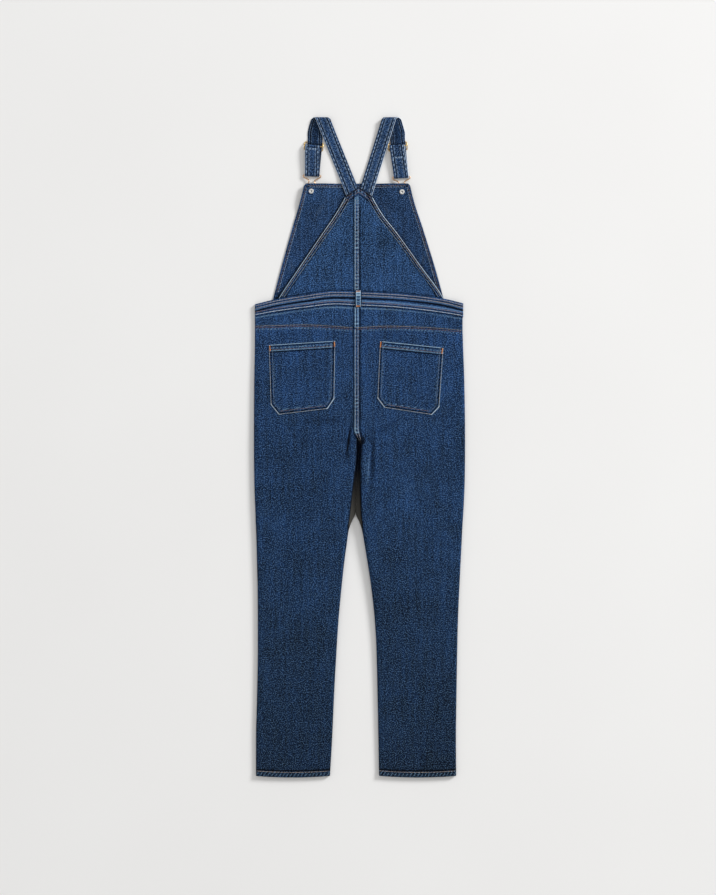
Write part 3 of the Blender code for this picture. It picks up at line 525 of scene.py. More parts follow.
def make_cloth(
    node, grid, wear, material, shift, slot="denim", shell=SHELL, down=False, turned=False
):
    """The cloth of one solid: a thin shell under a grid of outside x, y and z, with its map
    in metres."""
    rows, columns = wear.shape
    bpy.ops.object.select_all(action="DESELECT")
    bpy.ops.mesh.primitive_grid_add(x_subdivisions=columns - 1, y_subdivisions=rows - 1)
    cloth = bpy.context.object
    cloth.name = f"{node}_cloth"
    mesh = cloth.data
    points = np.dstack(grid).reshape(-1, 3) * MM
    mesh.vertices.foreach_set("co", points.astype(np.float32).ravel())
    mark_wear_and_shade(mesh, wear)
    corners = np.zeros(len(mesh.loops), np.int32)
    mesh.loops.foreach_get("vertex_index", corners)
    flat = points[:, [1, 0]] if turned else points[:, :2]
    chart = mesh.uv_layers[0]
    chart.name = "cloth"
    chart.data.foreach_set("uv", (flat[corners] + np.array(shift)).astype(np.float32).ravel())
    if down:
        mesh.flip_normals()
    mesh.materials.append(material)
    mesh.shade_smooth()
    mesh.update()
    wall = cloth.modifiers.new("Cloth wall", "SOLIDIFY")
    wall.thickness = shell * MM
    wall.offset = -1.0
    place_piece(cloth, slot, node)
    return cloth


def calculate(tree, operation, *inputs, clamp=False):
    """The outcome of a sum on shader values and numbers."""
    numbered = dict(enumerate(inputs))
    return add_node(tree, "Math", numbered, operation=operation, use_clamp=clamp).outputs[0]


def remap(tree, value, source, target=(0.0, 1.0)):
    """A shader value, clamped to a source range and carried over to a target range."""
    numbered = dict(enumerate((value, *source, *target)))
    return add_node(tree, "MapRange", numbered).outputs[0]


def blend(tree, share, first, second):
    """Two shader colours, the second laid over the first by a share."""
    inputs = {"Factor": share, 6: first, 7: second}
    return add_node(tree, "Mix", inputs, data_type="RGBA").outputs[2]


def relief(tree, height, strength, depth):
    """A surface tilted by a shader height that is this deep in millimetres."""
    inputs = {"Strength": strength, "Distance": depth * MM, "Height": height}
    return add_node(tree, "Bump", inputs).outputs["Normal"]


def weigh(tree, terms):
    """A sum of shader values, each about 0.5, that sways round 0 by their weights."""
    total = 0.0
    for value, weight in terms:
        part = calculate(tree, "MULTIPLY_ADD", value, weight, -weight / 2)
        total = calculate(tree, "ADD", total, part)
    return total


# The weave: indigo warp threads of uneven thickness over a pale weft that shows as flecks,
# washed unevenly in clouds and paler where it is rubbed; painted shade darkens every hollow,
# and the deepest are painted the warm grey of a floor in shadow. Wear above 0 is rubbed and
# below 0 painted shade.
BLEACHED = (0.72, 0.78, 0.84, 1)
FLOOR_SHADOW_GREY = (0.07, 0.067, 0.06, 1)
DARKEST = 0.2
WEAVE_INPUTS = {
    "Cloth": "Vector", "Length_tone": "Color", "Worn": "Color", "Wear": "Float", "Contrast": "Float",
}
WEAVE_OUTPUTS = {"Colour": "Color", "Roughness": "Float", "Height": "Float"}

weave = bpy.data.node_groups.new("denim weave", "ShaderNodeTree")
for way, sockets in (("INPUT", WEAVE_INPUTS), ("OUTPUT", WEAVE_OUTPUTS)):
    for socket, kind in sockets.items():
        weave.interface.new_socket(socket, in_out=way, socket_type="NodeSocket" + kind)
weave_in = weave.nodes.new("NodeGroupInput").outputs
weave_out = weave.nodes.new("NodeGroupOutput")


def woven(scale, detail=2.0, stretch=None):
    """A noise over the cloth, drawn out along the warp if it is given a stretch."""
    place = weave_in["Cloth"]
    if stretch:
        place = add_node(weave, "Mapping", {"Vector": place, "Scale": stretch}).outputs[0]
    inputs = {"Vector": place, "Scale": scale, "Detail": detail, "Roughness": 0.6}
    return add_node(weave, "TexNoise", inputs).outputs["Fac"]


fleck = woven(500.0)
mottle = woven(150.0)
slub = woven(1.0, stretch=(360.0, 60.0, 1.0))
streak = woven(1.0, stretch=(150.0, 9.0, 1.0))
cloud = woven(17.0, 3.0)
drift = woven(6.0)
twill = add_node(
    weave, "TexWave", {"Vector": weave_in["Cloth"], "Scale": 420.0, "Distortion": 1.2, "Detail": 1.0},
    wave_type="BANDS", bands_direction="DIAGONAL",
).outputs["Fac"]
shade = weigh(
    weave,
    [(fleck, 17.0), (mottle, 1.6), (slub, 2.4), (streak, 3.0), (cloud, 2.0), (drift, 1.6), (twill, 0.2)],
)
shade = calculate(weave, "MULTIPLY_ADD", shade, weave_in["Contrast"], 1.0)
shade = calculate(weave, "MAXIMUM", shade, DARKEST)
# painted shade: wear below 0 darkens the weave as if it lay in shadow
lit = remap(weave, weave_in["Wear"], (-1.0, 0.0), (0.12, 1.0))
shade = calculate(weave, "MULTIPLY", shade, lit)
warp = add_node(weave, "VectorMath", {0: weave_in["Length_tone"], "Scale": shade}, operation="SCALE")
weft = calculate(weave, "MULTIPLY", remap(weave, fleck, (0.52, 0.8), (0.0, 0.5)), lit)
rubbed = calculate(weave, "MULTIPLY", weave_in["Wear"], fleck)
rubbed = calculate(weave, "ADD", remap(weave, rubbed, (0.04, 0.7)), weft, clamp=True)
colour = blend(weave, rubbed, warp.outputs[0], weave_in["Worn"])
colour = blend(weave, remap(weave, weave_in["Wear"], (1.0, 3.0), (0.0, 0.8)), colour, BLEACHED)
# painted shadow: the deepest hollows take the grey of a shadowed floor
colour = blend(weave, remap(weave, weave_in["Wear"], (-2.0, -6.0)), colour, FLOOR_SHADOW_GREY)
feed(
    weave, weave_out,
    Colour=colour,
    Roughness=remap(weave, fleck, (0.0, 1.0), (0.98, 0.78)),
    Height=calculate(weave, "ADD", fleck, twill),
)

# The denim's colour from the ankles up to the bib, darker towards the ankles, as height and colour.
LENGTH_TONE = (
    (-726, (0.0023, 0.0077, 0.0246)),
    (-600, (0.0035, 0.0119, 0.0352)),
    (-420, (0.0047, 0.0156, 0.0456)),
    (-200, (0.0063, 0.0211, 0.0624)),
    (60, (0.0070, 0.0240, 0.0728)),
    (250, (0.0083, 0.0282, 0.0871)),
    (300, (0.0115, 0.0375, 0.1095)),
    (560, (0.0146, 0.0429, 0.1130)),
)


def make_denim(name, worn, contrast=1.0, lift=1.0):
    """Denim whose colour darkens down its length, and its colour where it is worn."""
    material, tree, shader = new_material(
        name, Specular_IOR_Level=0.04, Sheen_Weight=0.02, Sheen_Roughness=0.5
    )
    place = add_node(tree, "TexCoord").outputs["Object"]
    along = add_node(tree, "SeparateXYZ", {0: place}).outputs["Y"]
    low, high = LENGTH_TONE[0][0] * MM, LENGTH_TONE[-1][0] * MM
    stops = [
        ((height * MM - low) / (high - low), [channel * lift for channel in colour])
        for height, colour in LENGTH_TONE
    ]
    inputs = {
        "Cloth": add_node(tree, "UVMap", uv_map="cloth").outputs["UV"],
        "Length_tone": graded(tree, remap(tree, along, (low, high)), stops),
        "Worn": (*worn, 1),
        "Wear": add_node(tree, "Attribute", attribute_name="wear").outputs["Fac"],
        "Contrast": contrast,
    }
    cloth = add_node(tree, "Group", inputs, node_tree=weave).outputs
    normal = relief(tree, cloth["Height"], 0.6, 0.25)
    feed(tree, shader, Base_Color=cloth["Colour"], Roughness=cloth["Roughness"], Normal=normal)
    return material


denim = make_denim("indigo denim", (0.245, 0.42, 0.59))


def hem_y(side, x):
    """The hem line of one leg, lowest at its middle."""
    return HEM_LOWEST + HEM_RISE * ((x - HEM_MIDDLE[side]) / HEM_HALF) ** 2


def leg_curl(y):
    """How far a leg's inner edge is rolled down to its seam."""
    return 1 - smooth((y - CROTCH_Y) / CROTCH_DIP)


TOP_LINE = {"back": "yoke_seam", "front": "band_bottom"}
HEM_FINE = np.arange(0, 17, 1.3)        # closer places beside a leg's hem,
SEAM_FINE = np.arange(0, 12, 1.5)       # beside its upper seam
FELL_FINE = np.arange(0, 13, 1.1)       # and beside the centre seam
ROPE = 8.2                  # from one pucker of a leg's hem to the next
ROPE_LEAN = 0.6
ROPE_HEIGHT = 0.22
YOKE_ROWS = (1.0, 4.6)
YOKE_PUCKERS = 7.9          # where the cloth puckers below the rows
FELL_PALE = (0.3, 0.8)      # how much paler the fell is than the leg, from high up to its foot
SHELF_SHADOW = (1.1, 6.0)     # how deep the painted shadow on the strip between the legs is, from the crotch down
SHELF_FADE = 150.0
SEAM_SHADE = (2.0, 10.0, 20.0, 34.0)    # painted shade at the fell's foot comes and goes up it
FELL_SHADOW = (-1.1, 0.0, 1.8)          # the line beside the fell


def leg_grid(side, layer):
    """Places of one leg panel, its share of full height, and how far each place is up from
    the hem, below the upper seam and across from the inner edge."""
    is_back = layer == "back"
    top = float(WAIST[TOP_LINE[layer]].mean())
    step = LEG_STEP[layer]
    levels = np.concatenate((
        stations(HEM_START, DIP_LOW_Y, step, HEM_FINE)[:-1],
        stations(DIP_LOW_Y, DIP_HIGH_Y, step / 2)[:-1],
        stations(DIP_HIGH_Y, top, step, (), SEAM_FINE if is_back else ()),
    ))
    fine = FELL_FINE if is_back else (0.0,)
    x, full, from_seam = leg_width(side, levels, leg_curl(levels), SPACING[layer], fine, is_back)
    level = levels[:, None] + 0 * x
    up, below = level - HEM_START, top - level
    y = level + (hem_y(side, x) - HEM_START) * smooth((HEM_REACH - up) / HEM_REACH)
    top_share = smooth((TOP_REACH - below) / TOP_REACH)
    y = y + (ease(WAIST, TOP_LINE[layer], x) - SEAM_GAP / 2 - top) * top_share
    return x, y, full, up, below, from_seam


def make_leg(side, layer):
    """One leg panel of the back or the front."""
    is_back = layer == "back"
    x, y, full, up, below, from_seam = leg_grid(side, layer)
    hem_height, hem_wear_and_shade = sewn_band(up, x, LEG_HEM, (HEM_ROW,), len(side), edge=0.2)
    rope = np.sin(2 * np.pi * (x - up * ROPE_LEAN) / ROPE + 0.7 * ripple(x, len(side), 60.0))
    roped = bell(up, HEM_ROW / 2, 4.5)
    hem_height = hem_height + ROPE_HEIGHT * rope * roped
    hem_wear_and_shade = hem_wear_and_shade + (0.5 * rope - 0.05) * roped
    if is_back:
        seam_height, seam_wear_and_shade = sewn_band(below, x, -3.0, YOKE_ROWS, 5, edge=0.0)
        z = back_height(x, y, full) + (hem_height + seam_height) * full
        # painted shadow: the low strip between the legs is darkened as if in shade, grey at its deepest
        painted_shadow = mix(*SHELF_SHADOW, smooth(-y / SHELF_FADE)) * shelf_share(x, y) * (1 - full)
        wear = fold_wear_and_shade(x, y) * full + hem_wear_and_shade + seam_wear_and_shade - painted_shadow
        wear = wear + lines_at(below, (0.6, YOKE_PUCKERS, 1.5)) * dimples(x, 6)
        level = up + HEM_START
        up_seam = smooth((level - FELL_START) / FELL_RISE)
        # painted shade at the foot of the centre seam
        shade = between(level, *SEAM_SHADE)
        if side == "right":
            fell_height, fell_wear_and_shade, felled = centre_fell(from_seam, y)
            z = z + fell_height * up_seam * full
            fell_wear_and_shade = fell_wear_and_shade + mix(*FELL_PALE, smooth((70 - level) / 60)) * felled
            wear = wear + fell_wear_and_shade * up_seam + shade * lines_at(from_seam, (-2.2, 5, 7))
        else:
            wear = wear + lines_at(from_seam, FELL_SHADOW) * up_seam
            wear = wear + shade * lines_at(from_seam, (-1.2, 0, 4))
    else:
        z = front_height(x, y, full)
        wear = hem_wear_and_shade * 0.7
    shift = (0.3 * len(layer), 0.7 * len(side))
    return make_cloth(f"{layer}_leg_{side}", (x, y, z), wear, denim, shift, down=not is_back)


legs = {}
for layer in ("back", "front"):
    for side in SIDES:
        leg = make_leg(side, layer)
        legs[layer, side] = leg

# Topstitching: one thread lies in short grains that dip into the cloth at both ends.
PITCH = 3.3
GRAIN = (1.3, 0.55, 0.34)   # half its length, width and height
GRAIN_LAP = 1.08            # how much longer it is made, so that its ends sink in
GRAIN_RISE = 0.06           # how far its middle stands off the cloth
SEWN_FROM = 0.4             # how far along its row the first stitch starts
UNEVEN = 0.25
RAY_START = 40.0            # the cloth is felt for from this far off
WAIST_ENDS = (-229.5, 227.5)            # of the rows round the waist
THREADS = {
    "white": ((0.70, 0.74, 0.78), (0.34, 0.42, 0.52)),
    "pale": ((0.44, 0.55, 0.68), (0.15, 0.24, 0.38)),
    "blue": ((0.19, 0.28, 0.42), (0.05, 0.10, 0.18)),
    "grey": ((0.52, 0.50, 0.50), (0.27, 0.28, 0.31)),
    "tan": ((0.50, 0.42, 0.36), (0.22, 0.18, 0.16)),
    "brown": ((0.27, 0.16, 0.11), (0.10, 0.07, 0.07)),
    "orange": ((0.66, 0.24, 0.05), (0.34, 0.14, 0.06)),
}


def make_thread(name, thread, shadow):
    """Polished cotton thread, its colour rubbed away unevenly along a row."""
    material, tree, shader = new_material(f"{name} thread", Specular_IOR_Level=0.3, Sheen_Weight=0.1)
    fade = noise(tree, 160.0)
    inputs = {"Vector": add_node(tree, "TexCoord").outputs["Object"], "Scale": 900.0}
    twist = add_node(tree, "TexWave", inputs, wave_type="BANDS", bands_direction="DIAGONAL")
    feed(
        tree, shader,
        Base_Color=graded(tree, fade, ((0.32, shadow), (0.6, thread))),
        Roughness=remap(tree, fade, (0.0, 1.0), (0.5, 0.8)),
        Normal=relief(tree, twist.outputs["Fac"], 0.5, 0.1),
    )
    return material


threads = {name: make_thread(name, *colours) for name, colours in THREADS.items()}

bpy.ops.mesh.primitive_ico_sphere_add(subdivisions=1, radius=1.0)
grain = bpy.context.object
GRAIN_POINTS = np.array([vertex.co for vertex in grain.data.vertices], float)
GRAIN_FACES = np.array([face.vertices for face in grain.data.polygons])
bpy.data.objects.remove(grain)


def link_object(name, data):
    """A new object of the scene that shows a mesh or a curve."""
    item = bpy.data.objects.new(name, data)
    bpy.context.scene.collection.objects.link(item)
    return item


def unit(ways):
    """Directions, each brought to a length of 1."""
    return ways / np.linalg.norm(ways, axis=-1, keepdims=True)


def lengths_along(points):
    """How far along a line each of its points lies."""
    gaps = np.linalg.norm(np.diff(points, axis=0), axis=1)
    return np.concatenate(([0.0], np.cumsum(gaps)))


def make_stitches(name, starts, ends, ups, thread, size=GRAIN):
    """One joined mesh of stitches, a grain from each start to its end."""
    starts, ends, ups = (np.asarray(places, float) for places in (starts, ends, ups))
    along = ends - starts
    reach = np.linalg.norm(along, axis=1, keepdims=True)
    along = along / reach
    side = unit(np.cross(ups, along))
    up = np.cross(along, side)
    points = (
        ((starts + ends) / 2)[:, None, :]
        + GRAIN_POINTS[None, :, 0:1] * (along * reach / 2)[:, None, :] * GRAIN_LAP
        + GRAIN_POINTS[None, :, 1:2] * side[:, None, :] * size[1]
        + GRAIN_POINTS[None, :, 2:3] * up[:, None, :] * size[2]
    )
    faces = GRAIN_FACES[None] + np.arange(len(starts))[:, None, None] * len(GRAIN_POINTS)
    mesh = bpy.data.meshes.new(name)
    mesh.from_pydata((points.reshape(-1, 3) * MM).tolist(), [], faces.reshape(-1, 3).tolist())
    mesh.shade_smooth()
    mesh.materials.append(threads[thread])
    stitches = link_object(name, mesh)
    place_piece(stitches, "denim")
    return stitches


def height_finder(panel, below=False):
    """A function that feels for the height of a panel's outside, None where it has none."""
    bpy.context.view_layer.update()
    cloth = BVHTree.FromObject(panel, bpy.context.evaluated_depsgraph_get())
    way = Vector((0, 0, 1 if below else -1))

    def height_at(x, y):
        """The height of the outside at one place."""
        hit = cloth.ray_cast(Vector((x, y, -way.z * RAY_START)) * MM, way)[0]
        return None if hit is None else hit.z / MM

    return height_at


def sew(name, panel, thread, rows, below=False, pitch=PITCH, size=GRAIN):
    """Rows of stitches, given as places across and along, laid on a panel of cloth."""
    height_at = height_finder(panel, below)
    facing = -1 if below else 1
    starts, ends = [], []
    for number, row in enumerate(rows):
        row = np.asarray(row, float)
        lengths = lengths_along(row)
        marks = np.arange(SEWN_FROM, lengths[-1] - 2 * GRAIN[0], pitch)
        marks = marks + UNEVEN * np.sin(marks * 1.9 + number)
        for mark in marks:
            stitch = []
            for at in (mark, mark + 2 * GRAIN[0]):
                x, y = (np.interp(at, lengths, row[:, axis]) for axis in (0, 1))
                height = height_at(x, y)
                if height is None:
                    break
                stitch.append((x, y, height + facing * GRAIN_RISE))
            if len(stitch) == 2:
                starts.append(stitch[0])
                ends.append(stitch[1])
    ups = np.tile((0, 0, facing), (len(starts), 1))
    return make_stitches(name, starts, ends, ups, thread, size)


def leg_row(side, rise):
    """A row of sewing that follows one leg's hem."""
    edges = (float(ease(LEG_EDGES, name + side, HEM_START)) for name in ("outer_", "inner_"))
    low, high = sorted(edges)
    x = np.linspace(low + 1.5, high - 1.5, 40)
    return np.column_stack((x, hem_y(side, x) + rise))


def seam_row(row, low, high):
    """A row of sewing beside the centre seam, drawn in to it at the crotch."""
    y = np.linspace(low, high, 80)
    share = mix(0.55, 1.0, smooth((y - FELL_START) / 16))
    return np.column_stack((ease(LEG_EDGES, "inner_right", y) + row * share, y))


def waist_row(line, rise, low=WAIST_ENDS[0], high=WAIST_ENDS[1]):
    """A row of sewing that follows one of the lines round the waist."""
    x = np.linspace(low, high, 120)
    return np.column_stack((x, ease(WAIST, line, x) + rise))


for side in SIDES:
    sew(f"hem_row_{side}", legs["back", side], "tan", [leg_row(side, HEM_ROW)])
    sew(f"front_hem_row_{side}", legs["front", side], "tan", [leg_row(side, HEM_ROW)], below=True)
yoke_low = float(ease(WAIST, "yoke_seam", BACK_SEAM_X))
centre_rows = [seam_row(row, FELL_START + 1, yoke_low - 1) for row in FELL_ROWS]
sew("centre_seam_rows", legs["back", "right"], "grey", centre_rows)
yoke_ends = {
    "left": (WAIST_ENDS[0], BACK_SEAM_X - 1),
    "right": (BACK_SEAM_X + 1, WAIST_ENDS[1] - 1),
}
for side, (low, high) in yoke_ends.items():
    for row, thread in zip(YOKE_ROWS, ("tan", "brown")):
        yoke_row = waist_row("yoke_seam", -row, low, high)
        sew(f"yoke_row_{thread}_{side}", legs["back", side], thread, [yoke_row])

# --- Yoke -------------------------------------------------------------------------------
# Two shaped denim pieces join the legs to the waistband. The lower edge of each is felled
# to its leg, and the right one is felled over the left at the centre seam.


YOKE_LEVELS = (265.0, 300.0)
YOKE_STEP = 0.07                        # from one place to the next up it, as a share
YOKE_FINE = (0.0, 0.03, 0.06, 0.1)
YOKE_FOOT = 5.0                         # how far up from its foot it puckers
YOKE_HEAD = 2.2                         # and how far down from the waistband it is drawn in


def make_yoke(side):
    """One half of the back yoke."""
    shares = stations(0.0, 1.0, YOKE_STEP, YOKE_FINE, YOKE_FINE)
    levels = mix(*YOKE_LEVELS, shares)
    flat_edge = np.zeros_like(levels)
    x, full, from_seam = leg_width(side, levels, flat_edge, SPACING["back"], FELL_FINE)
    low = ease(WAIST, "yoke_seam", x) + SEAM_GAP / 2
    high = ease(WAIST, "band_bottom", x) - SEAM_GAP / 2
    y = mix(low, high, shares[:, None])
    from_foot, from_head = y - low, high - y
    puckered, sunk = bell(from_foot, 0, YOKE_FOOT), bell(from_head, 0, YOKE_HEAD)
    z = back_height(x, y, full) + (0.3 + 0.12 * ripple(x, 2)) * puckered - 0.4 * sunk
    # painted shade where the yoke sinks under the waistband
    wear = fold_wear_and_shade(x, y) + 0.2 * ripple(x, 2) * puckered - 0.65 * sunk
    wear = wear + lines_at(from_foot, (0.3, 0, 1.5)) + lines_at(from_head, (0.6, 4.4, 1.3))
    if side == "right":
        fell_height, fell_wear_and_shade, felled = centre_fell(from_seam, y)
        z = z + fell_height
        wear = wear + fell_wear_and_shade + 0.2 * felled + along_rows(from_seam, FELL_ROWS, 1.1, 1.0)
    else:
        wear = wear + lines_at(from_seam, FELL_SHADOW)
    return make_cloth(f"back_yoke_{side}", (x, y, z), wear, denim, (0.1, 0.37 * len(side)))


yokes = {side: make_yoke(side) for side in SIDES}
band_low = float(ease(WAIST, "band_bottom", BACK_SEAM_X))
centre_rows = [seam_row(row, yoke_low + 1, band_low - 1) for row in FELL_ROWS]
sew("yoke_centre_rows", yokes["right"], "pale", centre_rows)

# --- Waistband --------------------------------------------------------------------------
# A doubled strip of denim round the waist. The back half is topstitched in two pairs of
# rows, one along each edge, and the cloth between the pairs has sunk into a crease, darkened
# with painted shade.

BAND_WALL = 2.2
BAND_WIDTH = 30.0
BAND_STEP = {"back": 0.8, "front": 3.0}
BAND_SPACING = {"back": 2.2, "front": 5.0}
BAND_TOP_ROWS = (4.2, 9.6)
BAND_FOOT_ROWS = (2.4, 7.8)
FRONT_BAND_ROW = 2.6
BAND_CREASE = 15.4          # down from its upper edge
BAND_THREAD = (1.35, 0.85, 0.4)
BAND_BULGE = 0.9
BAND_PUCKER = 6.9           # from one pucker to the next


def make_waistband(layer):
    """The back or the front of the waistband."""
    is_back = layer == "back"
    places = stations(0.0, BAND_WIDTH, BAND_STEP[layer])
    left, right = (np.full(len(places), LEG_EDGES["outer_" + side][-1]) for side in SIDES)
    rolled = np.ones_like(left)
    level = places + float(WAIST["band_bottom"].mean())
    x, full = rolled_sides(left, right, level, (rolled, rolled), BAND_SPACING[layer])
    low = ease(WAIST, "band_bottom", x) + SEAM_GAP / 2
    high = ease(WAIST, "band_top", x) - SEAM_GAP / 2
    y = mix(low, high, places[:, None] / BAND_WIDTH)
    from_foot, from_top = y - low, high - y
    from_edge = np.minimum(from_foot, from_top)
    if is_back:
        crown = smooth(from_edge / 2.0) * (1 - 0.95 * bell(from_top, BAND_CREASE, 3.0))
        z = back_height(x, y, full) + BAND_BULGE * crown * full
        # painted shade along both edges, in the crease and between the rows
        wear = 0.1 * crown + lines_at(from_edge, (-0.6, 0, 0.9))
        wear = wear + lines_at(from_foot, (0.8, 11.0, 1.2))
        wear = wear + lines_at(from_top, (0.8, 12.4, 1.0), (-2.2, BAND_CREASE, 2.0))
        for edge, rows, seed in ((from_foot, BAND_FOOT_ROWS, 1), (from_top, BAND_TOP_ROWS, 4)):
            middle = sum(rows) / 2
            waves = ripple(x, seed, BAND_PUCKER)
            z = z + along_rows(edge, rows, -0.25, 0.9) * full
            z = z + 0.22 * waves * bell(edge, middle, 3.6) * full
            wear = wear + along_rows(edge, rows, 0.35, 1.2) * (1 + waves)
            wear = wear - 1.1 * bell(edge, middle, 1.1) * mix(0.6, 1.0, dimples(x, seed))
    else:
        z = front_height(x, y, full)
        wear = 0.4 * bell(from_edge, 0, 1.5) + 0.2 * ripple(x, 6) * bell(from_edge, 0, 6)
    shell = SHELL if is_back else BAND_WALL - UNDER_RISE
    return make_cloth(
        f"{layer}_waistband", (x, y, z), wear, band_denim, (0.9, 0.55 * len(layer)),
        shell=shell, down=not is_back, turned=True,
    )


band_denim = make_denim("waistband denim", (0.17, 0.32, 0.55))
waistband = make_waistband("back")
front_waistband = make_waistband("front")
top_rows = [waist_row("band_top", -row) for row in BAND_TOP_ROWS]
sew("waistband_top_rows", waistband, "tan", top_rows, size=BAND_THREAD)
for row, thread in zip(BAND_FOOT_ROWS, ("white", "brown")):
    foot_row = waist_row("band_bottom", row)
    sew(f"waistband_{thread}_row", waistband, thread, [foot_row], size=BAND_THREAD)
front_rows = [waist_row("band_top", -FRONT_BAND_ROW), waist_row("band_bottom", FRONT_BAND_ROW)]
sew("front_waistband_rows", front_waistband, "tan", front_rows, below=True)

# --- Back bib ---------------------------------------------------------------------------
# Two tapering halves rise from the waistband to a point between the straps. Their sides
# are turned under and sewn in three rows, and the right half is felled over the left.

BACK_BIB_HEM = 10.0
BIB_ROWS = (1.5, 5.2, 10.2)
BIB_FOOT = 330.0
BIB_STEP = 0.0095                               # from one place to the next up it, as a share
BIB_FINE = ((0.0, 0.003, 0.007, 0.012), (0.0, 0.005, 0.01, 0.015, 0.02))
BIB_HEM_FINE = np.arange(0, 13.5, 1.1)
BIB_SEAM_FINE = {"left": np.array((0.0, 1.1, 2.4)), "right": FELL_FINE}
BIB_COLUMNS = 34
TIP_PEAK = (-2.0, 571.3)
TIP_SHOULDER_Y = 551.0
TIP_LEAN = 0.8                                  # across the point's slanting edge, of upright
TIP_ROWS = (3.8, 8.6)
TIP_HEM = 11.0
TIP_START = 500.0
OUTWARD = {"left": -1, "right": 1}
BACK_BIB_EDGE = table(
    "y left right height",
    (318, -184, 189, 5.0),
    (332, -176, 183, 4.9),
    (403, -128, 132, 4.0),
    (474, -79, 80.5, 2.9),
    (511, -53.5, 51.0, 2.7),
    (551, -30.5, 27.5, 4.2),
    (572, -22.0, 17.5, 5.2),
)


def tip_y(x):
    """The slanting upper edge of the point."""
    left, right = (
        abs(float(ease(BACK_BIB_EDGE, side, TIP_SHOULDER_Y)) - TIP_PEAK[0]) for side in SIDES
    )
    shoulder = np.where(x < TIP_PEAK[0], left, right)
    return mix(TIP_PEAK[1], TIP_SHOULDER_Y, np.abs(x - TIP_PEAK[0]) / shoulder)


def bib_grid(side):
    """Places of one half of the back bib, and how far each is from the centre seam, in from
    the side, up from the foot and along the hem."""
    way = OUTWARD[side]
    inner = BACK_SEAM_X + way * SEAM_GAP / 2
    shares = stations(0.0, 1.0, BIB_STEP, *BIB_FINE)
    levels = mix(BIB_FOOT, TIP_SHOULDER_Y, shares)
    edge = ease(BACK_BIB_EDGE, side, levels)
    width = ((edge - inner) * way)[:, None]
    seam_fine = BIB_SEAM_FINE[side]
    room = np.clip((width - 2) / (BIB_HEM_FINE[-1] + seam_fine[-1]), 0, 1)
    near = seam_fine * room
    far = width - BIB_HEM_FINE[::-1] * room
    middle = mix(near[:, -1:], far[:, :1], np.arange(1, BIB_COLUMNS) / BIB_COLUMNS)
    reach = np.hstack((near, middle, far))
    across = reach / width
    low = ease(WAIST, "band_top", mix(inner, edge[0], across)) + SEAM_GAP / 2
    y = mix(low, tip_y(mix(inner, edge[-1], across)), shares[:, None])
    slope = np.gradient(edge, levels)[:, None]
    from_edge = (width - reach) / np.sqrt(1 + slope**2)
    along = np.hypot(y - BIB_FOOT, edge[:, None] - edge[0])
    return inner + way * reach, y, reach, from_edge, y - low, along


def make_back_bib(side):
    """One half of the back bib."""
    x, y, reach, from_edge, from_foot, along = bib_grid(side)
    loose = smooth(from_edge / 25) * smooth(from_foot / 30)
    creased = folds_at(FOLDS, x, y) + folds_at(CREASES, x, y)
    sunk = bell(from_foot, 0, 2.2)
    rows, seed = BIB_ROWS[1:], 2 + len(side)
    hem_height, hem_wear_and_shade = sewn_band(from_edge, along, BACK_BIB_HEM, rows, seed, edge=3.4)
    z = WALL + ease(BACK_BIB_EDGE, "height", y) + creased * loose + hem_height - 0.35 * sunk
    # painted shade where the foot sinks into the waistband, and a painted shade line inside each side
    wear = (fold_wear_and_shade(x, y) + lines_at(from_foot, (0.7, 5.0, 1.5))) * loose - 0.8 * sunk
    wear = wear + hem_wear_and_shade + lines_at(from_edge, (-1.7, 3.2, 1.0))
    from_tip = (tip_y(x) - y) * TIP_LEAN
    tip = smooth((y - TIP_START) / 30)
    # painted shadow along the point's edge, where it lies over the strap ends
    tip_height, tip_wear_and_shade = sewn_band(from_tip, x * 1.3, TIP_HEM, TIP_ROWS, 9, edge=-2.0)
    z = z + (tip_height - RAISED * 0.5 * smooth((TIP_HEM + 0.7 - from_tip) / 1.4)) * tip
    wear = wear + (tip_wear_and_shade * 0.8 + lines_at(from_tip, (0.25, 6, 5), (-1.8, 0.4, 1.6))) * tip
    if side == "right":
        fell_height, fell_wear_and_shade, felled = centre_fell(reach, y)
        below_point = smooth((from_tip - TIP_HEM) / 2)
        ladder = smooth((from_tip - 24) / 6)
        z = z + fell_height * below_point
        wear = wear + (fell_wear_and_shade * ladder + 0.45 * felled) * below_point
    else:
        wear = wear + lines_at(reach, FELL_SHADOW)
        x, y, z, wear = (values[:, ::-1] for values in (x, y, z, wear))
    return make_cloth(f"back_bib_{side}", (x, y, z), wear, denim, (0.21, 0.9 * len(side)))


back_bibs = {side: make_back_bib(side) for side in SIDES}


def bib_edge_row(side, inset):
    """A row of sewing inside one side of the back bib, a little way in from its edge."""
    y = np.linspace(BIB_FOOT + 4.0, TIP_SHOULDER_Y - 2.0, 70)
    x = ease(BACK_BIB_EDGE, side, y)
    slope = np.gradient(x, y)
    across = -OUTWARD[side] / np.sqrt(1 + slope**2)
    return np.column_stack((x + inset * across, y - inset * slope * across))


for side in SIDES:
    for row, thread in zip(BIB_ROWS, ("white", "tan", "pale")):
        sew(f"back_bib_row_{round(row)}_{side}", back_bibs[side], thread, [bib_edge_row(side, row)])
band_high = float(ease(WAIST, "band_top", BACK_SEAM_X))
centre_rows = [seam_row(row, band_high + 2, 545.0) for row in FELL_ROWS]
sew("back_bib_centre_rows", back_bibs["right"], "grey", centre_rows)
for side, ends in (("left", (-29.5, -12.5)), ("right", (-11, 26.5))):
    x = np.linspace(*ends, 30)
    tip_rows = [np.column_stack((x, tip_y(x) - row / TIP_LEAN)) for row in TIP_ROWS]
    sew(f"point_rows_{side}", back_bibs[side], "brown", tip_rows, pitch=3.0)

# --- Front bib --------------------------------------------------------------------------
# The front bib lies face down, so its inside shows. Its sides and its top are turned to
# the inside and sewn in two rows, and the buttons under it hold its upper corners up.

